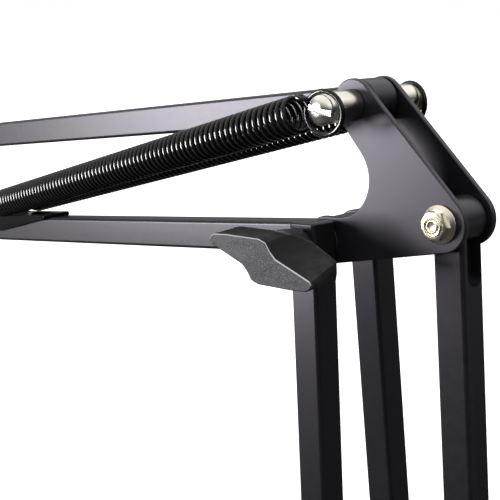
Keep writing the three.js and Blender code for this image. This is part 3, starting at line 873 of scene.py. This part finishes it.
def bolt_and_nut(bolt, nut, place, face, body, turn):
    """A bolt through a pair of plates, with its nut on the front one's outer face."""
    through_bolt(bolt, place, face + 0.3, face + BOLT_PROUD, body)
    front_nut(nut, place, face + 0.05, body, turn)


def grip_rivet(name, place, grip, body, radius=5.4, tall=1.8):
    """A rivet along Y with a head outside each end of its grip."""
    heads = both_ways(lambda: rivet_head(radius, tall), grip)
    shank = plain_pin(BOLT, -grip - 0.4, grip + 0.4)
    piece(name, joined(shank, *heads), spot(place, FRONT), body, ZINC)


# ---- Square tubes ----
def tube_outline(size, corner):
    """A square with rounded corners."""
    half = size / 2
    return rounded([(-half, -half), (half, -half), (half, half), (-half, half)], corner, 5)


def closed_tube(length, corner):
    """A tube along Z: its top is closed with a rounded rim and its foot is open."""
    rim = 0.7
    outlines = [tube_outline(TUBE - 2 * WALL, 0.5)] * 2
    heights = [length - 1.5, 0.35]
    outlines += [tube_outline(TUBE - 0.5, corner - 0.2)] + [tube_outline(TUBE, corner)] * 2
    heights += [0.0, 0.25, length - rim]
    for k in range(1, 4):
        angle = math.radians(30 * k)
        inset = rim * (1 - math.cos(angle))
        outlines.append(tube_outline(TUBE - 2 * inset, max(0.3, corner - inset)))
        heights.append(length - rim * (1 - math.sin(angle)))
    return lofted(outlines, heights)


def outer_slot(top):
    """What the slot in the back bar's outer face takes away: a round foot below, and open to the boss."""
    foot = top - SLOT["below"]
    half = SLOT["half"]
    sketch = wrap([(SLOT["aside"], foot, half), (SLOT["aside"], top, half)])
    cutter = lofted([sketch] * 2, [TUBE / 2 - SLOT["deep"], TUBE / 2 + 1])
    cutter.transform(Matrix(((0, 0, 1), (1, 0, 0), (0, 1, 0))).to_4x4())
    return cutter


def bossed_tube(length, corner, slotted=False):
    """A tube along Z between two round bosses."""
    wall = lofted([tube_outline(TUBE, corner)] * 2, [3.0, length - 3.0])
    if slotted:
        wall = boolean(wall, outer_slot(length))
    boss = [(0, -BOSS_Y), (BOSS_R, -BOSS_Y), (BOSS_R, BOSS_Y), (0, BOSS_Y)]
    lying = Matrix.Rotation(math.pi / 2, 4, "X")
    ends = [(lathed(boss, 1.3, segments=64), Matrix.Translation((0, 0, z)) @ lying) for z in (0, length)]
    return joined(wall, *ends)


def cheek_plate(name, side, outline, holes, place, outer, body):
    """One of a pair of plates beside the tubes, its outer face at a distance from their middle."""
    low, high = sorted((-side * outer, -side * (outer - PLATE)))
    plate = slab(outline, holes, low, high, settings().plate_edge)
    piece(name, plate, spot(place, FRONT), body, STEEL)


class BOOM_OT_tubes(bpy.types.Operator):
    """Makes the five square tubes of the two arms"""
    bl_idname = "boom.tubes"
    bl_label = "Square tubes"

    def execute(self, context):
        corner = settings().tube_corner
        lean = aimed(PAIR, ELBOW - PAIR)
        foot_y = PAIR_INNER + TUBE / 2 + REACH * math.tan(SPLAY)
        for name, side, _ in SIDES:
            splay = Matrix.Rotation(side * SPLAY, 4, "X")
            down = Matrix.Translation((0, 0, -PAIR_TAIL))
            place = lean @ Matrix.Translation((0, side * foot_y, 0)) @ splay @ down
            node = "lower_bar_" + name
            piece(node, closed_tube(REACH + PAIR_TOP + PAIR_TAIL, corner), place, "lower_pair", TUBES)
        for node, start, end, body in (
            ("lower_bar_back", BASE_BACK, ELBOW_BACK, "lower_back"),
            ("upper_bar_bottom", ELBOW, HEAD, "upper_bottom"),
            ("upper_bar_top", POSTS, HEAD_TOP, "upper_top"),
        ):
            tube = bossed_tube(REACH, corner, slotted=node == "lower_bar_back")
            piece(node, tube, aimed(start, end - start), body, TUBES)
        pin_reach = low_high("lower_cross_pin", 1)[1] - 1.8
        grip_rivet("lower_cross_pin", CROSS_PIN, pin_reach, "lower_pair")
        return {"FINISHED"}


# ---- Elbow ----
def flat(point, origin):
    """A point's x and z, seen from an origin."""
    return (point.x - origin.x, point.z - origin.z)


def spring_post():
    """A turned post, necked at its outer end for the spring's loop."""
    seat = PLATE_OUTER + 0.3
    neck = LOOP_Y - 1.4
    end = SCREW_SEAT - 0.1
    return lathed([(3.2, seat, 0), (6.0, seat, 0.2), (6.0, neck - 0.8, 0.3), (4.6, neck, 0.3),
                   (4.4, end, 0.2), (2.4, end, 0)], 0.2, 3, 64)


def slotted_screw(turn):
    """A polished round head with a slot across it."""
    seat = SCREW_SEAT
    tall = 2.9
    radius = 5.7
    profile = [(0, seat + tall)]
    for k in range(1, 13):
        angle = math.radians(7.5 * k)
        profile.append((radius * math.sin(angle), seat + 0.5 + (tall - 0.5) * math.cos(angle)))
    profile += [(radius, seat + 0.3), (radius - 0.3, seat), (0, seat)]
    head = turned(profile, 72)
    slot = block((-8, 8), (-1.0, 1.0), (seat + tall - 1.7, seat + 8))
    slot.transform(Matrix.Rotation(math.radians(turn), 4, "Z"))
    return boolean(head, slot)


class BOOM_OT_elbow(bpy.types.Operator):
    """Makes the elbow's plates, posts, screws, bolts and washers"""
    bl_idname = "boom.elbow"
    bl_label = "Elbow"

    def execute(self, context):
        back = flat(ELBOW_BACK, ELBOW)
        top = flat(POSTS, ELBOW)
        outline = wrap([(0, 0, 9.7), (*back, 10.7), (*top, 9.2), (5, 25.9, -15.7)])
        holes = [circle(*p, BOLT_HOLE) for p in ((0, 0), back, top)]
        for name, side, turn in SIDES:
            cheek_plate("elbow_plate_" + name, side, outline, holes, ELBOW, PLATE_OUTER, "elbow")
            drop = Vector((0, 0, POST_DROP))
            piece("elbow_post_" + name, spring_post(), spot(POSTS - drop, turn), "elbow", NICKEL)
            screw = slotted_screw(SLOT_TURN[name])
            piece("elbow_screw_" + name, screw, spot(POSTS - 2 * drop, turn), "elbow", NICKEL)
            washer = bushing(6.5, WASHER_HOLE, PLATE_OUTER + 0.1, PAIR_INNER - 0.45, 0.15)
            piece("elbow_washer_" + name, washer, spot(ELBOW, turn), "elbow", STEEL)
        pin = plain_pin(BOLT, -20, 20)
        piece("elbow_top_pin", pin, spot(POSTS, FRONT), "elbow", NICKEL)
        bolt_and_nut("elbow_back_bolt", "elbow_back_nut", ELBOW_BACK, PLATE_OUTER, "elbow", 30)
        clamp_seat = PAIR_INNER + TUBE + 0.6
        through_bolt("elbow_clamp_bolt", ELBOW, clamp_seat, 38, "elbow")
        return {"FINISHED"}


# ---- Springs ----
def hermite(p0, t0, p1, t1, steps):
    """Points between two places with the given tangents, without the first."""
    points = []
    for k in range(1, steps + 1):
        s = k / steps
        points.append(p0 * (2 * s ** 3 - 3 * s ** 2 + 1) + t0 * (s ** 3 - 2 * s ** 2 + s)
                      + p1 * (3 * s ** 2 - 2 * s ** 3) + t1 * (s ** 3 - s ** 2))
    return points


def spring_line(loop, coil, start, end, pitch, lay, steps=20, opening=0.0):
    """The centre line of an extension spring along +Z: a full loop in the XZ plane, laid by a matrix,
    then a coil that narrows over its last turn; opening widens the first turns' pitch by that share."""
    points = []
    for k in range(25):
        angle = math.radians(62 + 330 * k / 24)
        points.append(lay @ Vector((loop * math.cos(angle), 0, loop * math.sin(angle))))
    first_turn = Vector((coil, 0, start + 3.0))
    away = (points[-1] - points[-2]).normalized()
    points += hermite(points[-1], away * 7.0, first_turn, Vector((1.0, 9.0, 0.6)), 9)
    length = end - first_turn.z
    turns = length / pitch
    count = int(turns * steps)
    for k in range(1, count + 1):
        share = k / count
        along = length * (share + opening * share * (1 - share))
        angle = 2 * math.pi * turns * share
        left = (length - along) / (1.3 * pitch)
        radius = coil * (1 - 0.6 * max(0.0, 1 - left) ** 1.3)
        points.append(Vector((radius * math.cos(angle), radius * math.sin(angle), first_turn.z + along)))
    return points


def hook_line(eye, shank):
    """The centre line of a hook: an open eye about the origin, then a straight shank along -Z."""
    points = []
    for k in range(23):
        angle = math.radians(-90 + 12 + 318 * k / 22)
        points.append(Vector((eye * math.cos(angle), 0, eye * math.sin(angle))))
    points.reverse()
    bend = points[-1]
    away = (points[-1] - points[-2]).normalized()
    points += hermite(bend, away * eye, Vector((0, 0, -eye - 3.5)), Vector((0, 0, -eye)), 8)
    points.append(Vector((0, 0, -shank)))
    return points


def stretched(name, coil, place):
    """A spring placed in the stand's frame with its placing baked into its mesh, riding on no body."""
    made = piece(name, coil, place, None, COILS, smooth=60, even=False)
    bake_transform(made)
    return made


class BOOM_OT_upper_springs(bpy.types.Operator):
    """Makes the upper arm's two springs with their end plugs and hooks"""
    bl_idname = "boom.upper_springs"
    bl_label = "Upper springs"

    def execute(self, context):
        setup = settings()
        for name, side, _ in SIDES:
            start = POSTS + Vector((0, side * SPRING_Y, 0))
            end = SADDLE + Vector((0, side * HOOK_Y, 0))
            along = (end - start).normalized()
            place = aimed(start, along)
            turn = place.to_3x3().to_4x4()
            hang = Matrix.Translation((0, side * (LOOP_Y - SPRING_Y), -setup.loop_sag))
            lay = turn.inverted() @ hang @ Matrix.Rotation(-side * LOOP_TURN, 4, "Z") @ turn
            line = spring_line(8.1, COIL_R - setup.coil_wire, COIL_START, COIL_END, setup.coil_pitch, lay,
                               opening=0.08)
            coil = wire(line, setup.coil_wire, setup.wire_sides)
            coil.transform(Matrix.Translation(turn.inverted() @ Vector((0, 0, -COIL_DROP))))
            made = stretched("upper_spring_" + name, coil, place)
            if name == "front":
                glossy_springs().objects.link(made)
            plug = turned(threaded(5.0, 214, 230, 2.8, 0.6, 1.2) + [(0, 230)], 36)
            piece("upper_plug_" + name, plug, place, "upper_plugs", COILS)
            shank = (end - start).length - COIL_END + 4
            hook = wire(hook_line(4.2, shank), HOOK_R, 12)
            place = aimed(end, along)
            piece("upper_hook_" + name, hook, place, "upper_hooks", COILS, smooth=60, even=False)
        return {"FINISHED"}


class BOOM_OT_lower_springs(bpy.types.Operator):
    """Makes the lower arm's two springs with their hooks"""
    bl_idname = "boom.lower_springs"
    bl_label = "Lower springs"

    def execute(self, context):
        setup = settings()
        run = CROSS_PIN - LOW_ANCHOR
        run.y = 0
        for name, side, _ in SIDES:
            start = LOW_ANCHOR + Vector((0, side * LOW_SPRING_Y, 0))
            place = aimed(start, run)
            lift = Matrix.Translation((0, 0, 1.0))
            line = spring_line(5.2, 5.6, 5.2, LOW_COIL_END, setup.low_pitch, lift, 16)
            stretched("lower_spring_" + name, wire(line, 0.9, 8), place)
            shank = run.length - LOW_COIL_END + 10
            stub = turned(threaded(3.9, -shank - 4, -shank + 4, 2.4, 0.5, 1.0) + [(0, -shank + 4)], 32)
            hook = joined(wire(hook_line(4.4, shank), HOOK_R, 12), stub)
            place = aimed(start + run, run)
            piece("lower_hook_" + name, hook, place, "lower_hooks", COILS, smooth=60, even=False)
        return {"FINISHED"}


class BOOM_OT_saddle(bpy.types.Operator):
    """Makes the saddle that carries the upper springs' far ends, and its pin"""
    bl_idname = "boom.saddle"
    bl_label = "Spring saddle"

    def execute(self, context):
        inner = TUBE / 2 + 0.3
        outer = inner + 1.5
        at = 251.0
        up = 13.2
        side = wrap([(at - 48.8, outer - 1.2, 1.2), (at - 4, 1.5, 2.5), (at + 8, 1, 2), (at, up, 4.4),
                     (at - 13, up + 1.2, -6.2)])
        cheeks = []
        for low in (-outer, inner):
            cheeks.append(slab(side, [circle(at, up, 2.3)], low, low + 1.5, 0.35))
        web_outline = rounded([(at - 50, inner), (at - 19, inner), (at - 19, outer), (at - 50, outer)], 0.3)
        cheeks.append(slab(web_outline, [], -outer + 0.2, outer - 0.2, 0.3))
        # Drawn with the arm along X, up along Y and its width along Z.
        lay = Matrix(((0, 1, 0), (0, 0, 1), (1, 0, 0))).to_4x4()
        place = aimed(ELBOW, HEAD - ELBOW) @ lay
        piece("spring_saddle", joined(*cheeks), place, "upper_bottom", COILS)
        pin = joined(plain_pin(2.0, -12.8, 12.8), *both_ways(lambda: rivet_head(3.4, 1.2), 12.4))
        piece("saddle_pin", pin, spot(SADDLE, FRONT), "upper_bottom", ZINC)
        return {"FINISHED"}


# ---- Wing knob ----
def half_turned(half, drop):
    """An outline from one half and the same half turned half round, then shifted along Z."""
    points = list(half) + [(-x, -z) for x, z in half]
    return [Vector((x, z + drop)) for x, z in points]


class BOOM_OT_wing_knob(bpy.types.Operator):
    """Makes the elbow's wing knob: scooped blades on a hub"""
    bl_idname = "boom.wing_knob"
    bl_label = "Wing knob"

    def execute(self, context):
        front = [(17.3, -7.9), (23.9, -7.1), (25.9, -6.0), (26.9, -4.0), (25.7, -2.8), (8.7, 2.4),
                 (5.9, 4.9), (3.8, 7.9), (0.2, 8.9)]
        back = [(15.0, -7.4), (24.0, -6.8), (25.9, -6.2), (26.3, -3.0), (26.0, 1.3), (13.5, 6.9),
                (9.0, 7.5), (3.5, 8.0), (-2.5, 8.2)]
        face = -low_high("elbow_wing_knob", 1)[0]
        root = 33.7
        near = half_turned(front, -2.0)
        far = half_turned(back, -1.1)
        blades = lofted([far, far, near], [root, root + 1.5, face])
        blades = softened(blades, settings().knob_edge, 3, 18)
        hub = lathed([(0, 25.2), (6.6, 25.2), (7.4, 27), (8.2, 36), (0, 36)], 0.5, 3)
        knob = joined(blades, hub)
        piece("elbow_wing_knob", knob, spot(ELBOW, FRONT), "elbow_knob", PLASTIC)
        return {"FINISHED"}


# ---- Base ----
class BOOM_OT_base(bpy.types.Operator):
    """Makes the turning base: plates, block, spigot, pins and bolts"""
    bl_idname = "boom.base"
    bl_label = "Turning base"

    def execute(self, context):
        axis = -PAIR.x
        block_low, block_high = low_high("turret_block", 2)
        low = block_low - PAIR.z
        back = flat(BASE_BACK, PAIR)
        anchor = flat(LOW_ANCHOR, PAIR)
        rivet_at = middle("turret_block")
        rivet_at.y = 0
        rivet = flat(rivet_at, PAIR)
        outline = wrap([(0, 0, 10), (axis - 10, low + 7, 6), (axis + 10, low + 7, 6), (*back, 10)])
        holes = [circle(*p, BOLT_HOLE) for p in ((0, 0), back, anchor, rivet)]
        for name, side, turn in SIDES:
            cheek_plate("base_plate_" + name, side, outline, holes, PAIR, BASE_OUTER, "turret")
            spacer = joined(bushing(5.5, WASHER_HOLE, BOSS_Y + 0.3, BASE_OUTER - PLATE - 0.3),
                            bushing(6.0, WASHER_HOLE, BOSS_Y + 0.3, BOSS_Y + 2.0))
            piece("base_spacer_" + name, spacer, spot(BASE_BACK, turn), "turret", ZINC)
        y_low, y_high = low_high("turret_block", 1)
        x_low, x_high = low_high("turret_block", 0)
        body = softened(block((x_low, x_high), (y_low, y_high), (block_low, block_high)), 1.6, 4)
        below, above = block_low - 1, block_low + 6
        bore = turned([(0, below), (5.3, below), (5.3, above), (0, above)], 48)
        groove = block((x_low - 1, x_high + 1), (-6.5, 6.5), (block_high - 2.2, block_high + 2))
        body = boolean(boolean(body, bore), softened(groove, 1.2, 3))
        piece("turret_block", body, Matrix(), "turret", STEEL)
        foot, top = low_high("spigot", 2)
        collar = low_high("clamp_frame", 2)[1]
        rest, seat = collar + 0.3, block_low - 0.1
        spigot = [(0, foot), (5.0, foot, 0.8), (5.0, rest, 0), (12, rest), (12, seat), (5.0, seat, 0),
                  (5.0, top), (0, top)]
        spigot = lathed(spigot, 0.5, 3, 56)
        piece("spigot", spigot, Matrix(), "turret", NICKEL)
        grip_rivet("turret_rivet", rivet_at, BASE_OUTER + 0.05, "turret")
        grip_rivet("base_spring_pin", LOW_ANCHOR, BASE_OUTER + 0.05, "turret", 4.6, 1.4)
        pair_outer = PAIR_INNER + TUBE + REACH * math.tan(SPLAY) + 0.6
        through_bolt("base_pair_bolt", PAIR, pair_outer, pair_outer + BOLT_PROUD, "turret")
        front_nut("base_pair_nut", PAIR, pair_outer, "turret", 20)
        bolt_and_nut("base_back_bolt", "base_back_nut", BASE_BACK, BASE_OUTER, "turret", 5)
        return {"FINISHED"}


# ---- Clamp ----
THUMB_SCREW = (0, 0, 22)


class BOOM_OT_clamp(bpy.types.Operator):
    """Makes the desk clamp: bent strap, socket, pads, screw, handle and thumb screw"""
    bl_idname = "boom.clamp"
    bl_label = "Desk clamp"

    def execute(self, context):
        tip, lower_tip, back = -38.0, -26.0, 30.0
        foot, pad, thick = -75.0, 2.0, 5.0
        half = 21.0
        inner = 4.0
        strap = rounded([
            (tip, pad, 0.4), (back - thick, pad, inner - 2), (back - thick, foot + thick, inner),
            (lower_tip, foot + thick, 0.4), (lower_tip, foot, 0.4), (back, foot, inner + 3),
            (back, pad + thick, inner + 3), (tip, pad + thick, 0.4)], 1.0, 6)
        body = slab(strap, [], -half, half, 0.7)
        body.transform(FRONT)
        seat = pad + thick
        socket_top = low_high("clamp_frame", 2)[1]
        socket = [(5.3, seat - 1, 0), (13, seat - 1, 0), (13, seat + 1.5, 0.6), (10, seat + 3.2, 1.5),
                  (10, socket_top, 0.8), (5.3, socket_top, 0.5)]
        jaw = foot + thick
        nut_boss = [(5.3, jaw - 1, 0), (11, jaw - 1, 0), (11, jaw + 1, 0.5), (10, jaw + 9, 0.8),
                    (5.3, jaw + 9, 0.4)]
        rings = [lathed(ring, 0.5, segments=64, closed=True) for ring in (socket, nut_boss)]
        side_boss = bushing(6.0, WASHER_HOLE, 9.0, 15.5, 0.5)
        body = joined(body, *rings, (side_boss, spot(THUMB_SCREW, FRONT)))
        piece("clamp_frame", body, Matrix(), "clamp", STEEL)
        pad_body = block((tip + 1, back - thick - 3), (1 - half, half - 1), (0, pad - 0.03))
        pad_body = softened(pad_body, 0.5, 2)
        ribs = [block((tip + 6 + 7 * k, tip + 7.2 + 7 * k), (-half, half), (-1, 0.45)) for k in range(8)]
        pad_body = boolean(pad_body, joined(*ribs))
        piece("clamp_seat_pad", pad_body, Matrix(), "clamp", RUBBER)
        self.screw()
        return {"FINISHED"}

    def screw(self):
        """The clamp screw with its handle and pressure plate, and the socket's thumb screw."""
        low, high = low_high("clamp_screw", 2)
        handle = middle("clamp_handle_bar")
        boss = [(0, low), (8, low, 1.0), (8, low + 16, 1.0), (5, low + 16.6, 0)]
        boss = rounded(boss, 0.5, 3, closed=False)
        rod = threaded(5.0, low + 17, high, 1.5, 0.7, 1.2) + [(0, high)]
        body = turned([(p.x, p.y) for p in boss] + rod, 48)
        hole = turned([(0, -12), (3.3, -12), (3.3, 12), (0, 12)], 32)
        hole.transform(spot(handle, FRONT))
        piece("clamp_screw", boolean(body, hole), Matrix(), "clamp_screw", ZINC)
        ball = [(4.2 * math.sin(math.radians(a)), 30.6 - 3.9 * math.cos(math.radians(a)))
                for a in range(50, 181, 10)]
        half_bar = [(0, 0), (3.0, 0), (3.0, 27.6), *ball[:-1], (0, 34.3)]
        bar = joined(*both_ways(lambda: turned(half_bar, 40)))
        piece("clamp_handle_bar", bar, spot(handle, FRONT), "clamp_screw", NICKEL)
        low, high = low_high("clamp_pressure_plate", 2)
        groove = high - 0.5
        cup = lathed([(0, low, 0), (18, low, 0.9), (18, high, 0.9), (15.5, high, 0.2), (15, groove, 0.2),
                      (11, groove, 0.2), (10.5, high, 0.2), (0, high, 0)], 0.3, 3, 72)
        piece("clamp_pressure_plate", cup, Matrix(), "pressure_plate", STEEL)
        grip = softened(lofted([wrap([(-9, 0, 3.6), (9, 0, 3.6)])] * 2, [25, 30]), 0.8, 3)
        hub = lathed([(0, 16), (5.5, 16), (5.5, 29.5), (0, 29.5)], 0.6, 3)
        shank = turned(threaded(3.0, 6.0, 17, 1.0, 0.5, 0.2) + [(0, 17)], 40)
        screw = joined(grip, hub, shank)
        piece("socket_thumbscrew", screw, spot(THUMB_SCREW, FRONT), "socket_screw", PLASTIC)


# ---- Head ----
def knurled(radius, z0, z1):
    """A ring with a straight knurl and chamfered rims."""
    teeth = 40
    depth = 0.45

    def outline(r, cut):
        reaches = [r - cut * (k % 2) for k in range(2 * teeth)]
        angles = [math.pi * k / teeth for k in range(2 * teeth)]
        return [Vector((reach * math.cos(a), reach * math.sin(a))) for reach, a in zip(reaches, angles)]
    rim = outline(radius - 0.7, 0)
    full = outline(radius, depth)
    return lofted([rim, full, full, rim], [z0, z0 + 0.7, z1 - 0.7, z1])


class BOOM_OT_head(bpy.types.Operator):
    """Makes the head: plates, bolts, microphone swivel, stud, lock ring and knob"""
    bl_idname = "boom.head"
    bl_label = "Microphone head"

    def execute(self, context):
        top = flat(HEAD_TOP, HEAD)
        swivel = flat(SWIVEL, HEAD)
        outline = wrap([(0, 0, 9.5), (*top, 9.5), (*swivel, 9.5)])
        holes = [circle(*p, BOLT_HOLE) for p in ((0, 0), top, swivel)]
        for name, side, _ in SIDES:
            cheek_plate("head_plate_" + name, side, outline, holes, HEAD, PLATE_OUTER, "head")
        for name, place, turn in (("bottom", HEAD, 15), ("top", HEAD_TOP, 40)):
            bolt_and_nut("head_bolt_" + name, "head_nut_" + name, place, PLATE_OUTER, "head", turn)
        self.swivel()
        return {"FINISHED"}

    def swivel(self):
        """The block that tilts between the plates, with its stud, lock ring and knob."""
        half = PLATE_OUTER - PLATE - 0.3
        knuckle = bushing(9.5, 3.2, -half, half, 0.8)
        knuckle.transform(FRONT)
        neck = softened(block((-6, 6), (-6, 6), (-22, -6)), 1.5, 3)
        ring = lathed([(4.2, -27), (7.4, -27, 0.8), (7.4, -19, 0.8), (4.2, -19)], 0.3, 3, 56, closed=True)
        piece("mic_swivel_block", joined(knuckle, neck, ring), spot(SWIVEL), "mic_swivel", STEEL)
        stud = threaded(7.9, 27.3, 48, 0.94, 0.5, 1.0) + [(4.5, 48), (4.0, 46.5), (0, 46.5)]
        stud = joined(turned([(0, 27.3)] + stud, 64), plain_pin(4.0, 18, 29))
        piece("mic_stud", stud, spot(SWIVEL, FLIP), "mic_swivel", NICKEL)
        ring = boolean(knurled(12, 28, 33), turned([(0, 27), (8.0, 27), (8.0, 34), (0, 34)], 64))
        piece("mic_lock_ring", ring, spot(SWIVEL, FLIP), "mic_swivel", ZINC)
        outline = wrap([(-13, 0, 4), (0, 0, 7), (13, 0, 4)])
        grip = softened(lofted([outline] * 2, [18.2, 28]), 1.0, 3)
        hub = plain_pin(6.5, PLATE_OUTER + 0.3, 20)
        shank = plain_pin(3.0, -15.5, 19)
        piece("mic_knob", joined(grip, hub, shank), spot(SWIVEL, FRONT), "mic_knob", PLASTIC)


# ---- Stage ----
BEHIND = (-0.7071, 0.7071, 0.0)  # towards the lit backdrop
KEY_LAMP = (Vector((-0.895, -0.892, 0.001)), (0.461, 0.437), 13)  # place from the elbow, size, power
SPRING_LAMP = (Vector((-0.9, -0.9, 0.05)), (0.7, 0.6), 75)
CAMERA_PLACE = Vector((0.21455, -0.32127, 0.08044))  # from the elbow's back pivot
CAMERA_DIP = 13.59
CAMERA_TURN = 45.01
LENS = 76.2
SENSOR = 36


def glossy_springs():
    """The collection of pieces that the springs' own lamp lights."""
    found = bpy.data.collections.get("glossy_springs")
    return found or bpy.data.collections.new("glossy_springs")


class BOOM_OT_stage(bpy.types.Operator):
    """Sets the pale floor, the soft lights and the camera"""
    bl_idname = "boom.stage"
    bl_label = "Stage"

    def execute(self, context):
        self.floor()
        self.sky(context.scene)
        self.lamp("key", *KEY_LAMP)
        glint = self.lamp("spring_glint", *SPRING_LAMP)
        glint.light_linking.receiver_collection = glossy_springs()
        self.camera(context.scene)
        context.scene.view_settings.view_transform = "Standard"
        return {"FINISHED"}

    def floor(self):
        """A wide pale floor just below the lowest piece."""
        bm = bmesh.new()
        level = CAD_BOX[0].z - 0.001
        bmesh.ops.create_grid(bm, x_segments=8, y_segments=8, size=30)
        bm.transform(Matrix.Translation((0, 0, level)))
        mesh = bpy.data.meshes.new("studio_floor")
        bm.to_mesh(mesh)
        bm.free()
        made = bpy.data.objects.new("studio_floor", mesh)
        bpy.context.scene.collection.objects.link(made)
        mesh.materials.append(floor_material())

    def sky(self, scene):
        """A sky that is white to the camera and graded to the pieces."""
        world = bpy.data.worlds.new("studio")
        scene.world = world
        world.use_nodes = True
        shader = Shader(world.node_tree)
        shade = world.node_tree.nodes["Background"]
        seen = shader.node("ShaderNodeLightPath").outputs["Is Camera Ray"]
        height = shader.node("ShaderNodeTexCoord").outputs["Generated"]
        rise = shader.node("ShaderNodeSeparateXYZ", {"Vector": height}).outputs["Z"]
        glow = shader.ramp(rise, (0.0, 0.055), (0.12, 0.10), (0.3, 0.5), (0.5, 1.1), (1.0, 1.1))
        backdrop = shader.ramp(shader.behind(height), (0.80, 0.0), (0.92, 1.0))
        glow = shader.mix(backdrop, glow, (0.3, 0.3, 0.3, 1))
        tone = shader.mix(seen, glow, (1.0, 1.0, 1.0, 1))
        world.node_tree.links.new(tone, shade.inputs["Color"])
        shade.inputs["Strength"].default_value = 1.0

    def lamp(self, name, offset, size, power):
        """A soft lamp turned to the elbow."""
        light = bpy.data.lights.new(name, "AREA")
        light.shape = "RECTANGLE"
        light.size, light.size_y = size
        light.energy = power
        made = bpy.data.objects.new(name, light)
        made.location = ELBOW * MM + offset
        made.rotation_euler = (-offset).to_track_quat("-Z", "Y").to_euler()
        bpy.context.scene.collection.objects.link(made)
        return made

    def camera(self, scene):
        """The camera, placed from the elbow's back pivot."""
        lens = bpy.data.cameras.new("camera")
        lens.lens = LENS
        lens.sensor_width = SENSOR
        made = bpy.data.objects.new("camera", lens)
        made.location = ELBOW_BACK * MM + CAMERA_PLACE
        made.rotation_euler = (math.radians(90 - CAMERA_DIP), 0, math.radians(CAMERA_TURN))
        scene.collection.objects.link(made)
        scene.camera = made


def floor_material():
    """Pale to the camera; to the pieces it is dark, with a glow from the backdrop's side."""
    def fill(shader, surface):
        tree = shader.tree
        noise = shader.node("ShaderNodeTexNoise", {"Scale": 3.0, "Detail": 3.0})
        pale = settings().floor
        base = shader.mix(noise.outputs["Fac"], (*[c * 0.97 for c in pale], 1), (*pale, 1))
        seen = shader.node("ShaderNodeLightPath").outputs["Is Camera Ray"]
        base = shader.mix(seen, (0.05, 0.05, 0.05, 1), base)
        tree.links.new(base, surface.inputs["Base Color"])
        surface.inputs["Roughness"].default_value = 0.8
        surface.inputs["Specular IOR Level"].default_value = 0.0
        backdrop = shader.ramp(shader.behind(shader.place()), (0.5, 0.0), (1.0, 0.25))
        glow = shader.mix(seen, backdrop, (0.8, 0.8, 0.8, 1))
        surface.inputs["Emission Color"].default_value = (1, 1, 1, 1)
        tree.links.new(glow, surface.inputs["Emission Strength"])
    return new_material("pale_floor", fill)


class BOOM_PT_panel(bpy.types.Panel):
    """Lists the stand's operators and settings"""
    bl_idname = "BOOM_PT_panel"
    bl_label = "Boom arm"
    bl_space_type = "VIEW_3D"
    bl_region_type = "UI"
    bl_category = "Boom Arm"

    def draw(self, context):
        for operator in OPERATORS:
            self.layout.operator(operator.bl_idname)
        for name in BoomArmSettings.__annotations__:
            self.layout.prop(context.scene.boom_arm, name)


OPERATORS = (BOOM_OT_stage, BOOM_OT_tubes, BOOM_OT_elbow, BOOM_OT_upper_springs, BOOM_OT_lower_springs,
             BOOM_OT_saddle, BOOM_OT_wing_knob, BOOM_OT_base, BOOM_OT_clamp, BOOM_OT_head)
CLASSES = (BoomArmSettings, *OPERATORS, BOOM_PT_panel)


def register():
    for cls in CLASSES:
        bpy.utils.register_class(cls)
    bpy.types.Scene.boom_arm = PointerProperty(type=BoomArmSettings)


def unregister():
    del bpy.types.Scene.boom_arm
    for cls in reversed(CLASSES):
        bpy.utils.unregister_class(cls)


def main():
    register()
    bpy.ops.boom.stage()
    bpy.ops.boom.tubes()
    bpy.ops.boom.elbow()
    bpy.ops.boom.upper_springs()
    bpy.ops.boom.lower_springs()
    bpy.ops.boom.saddle()
    bpy.ops.boom.wing_knob()
    bpy.ops.boom.base()
    bpy.ops.boom.clamp()
    bpy.ops.boom.head()


if __name__ == "__main__":
    main()
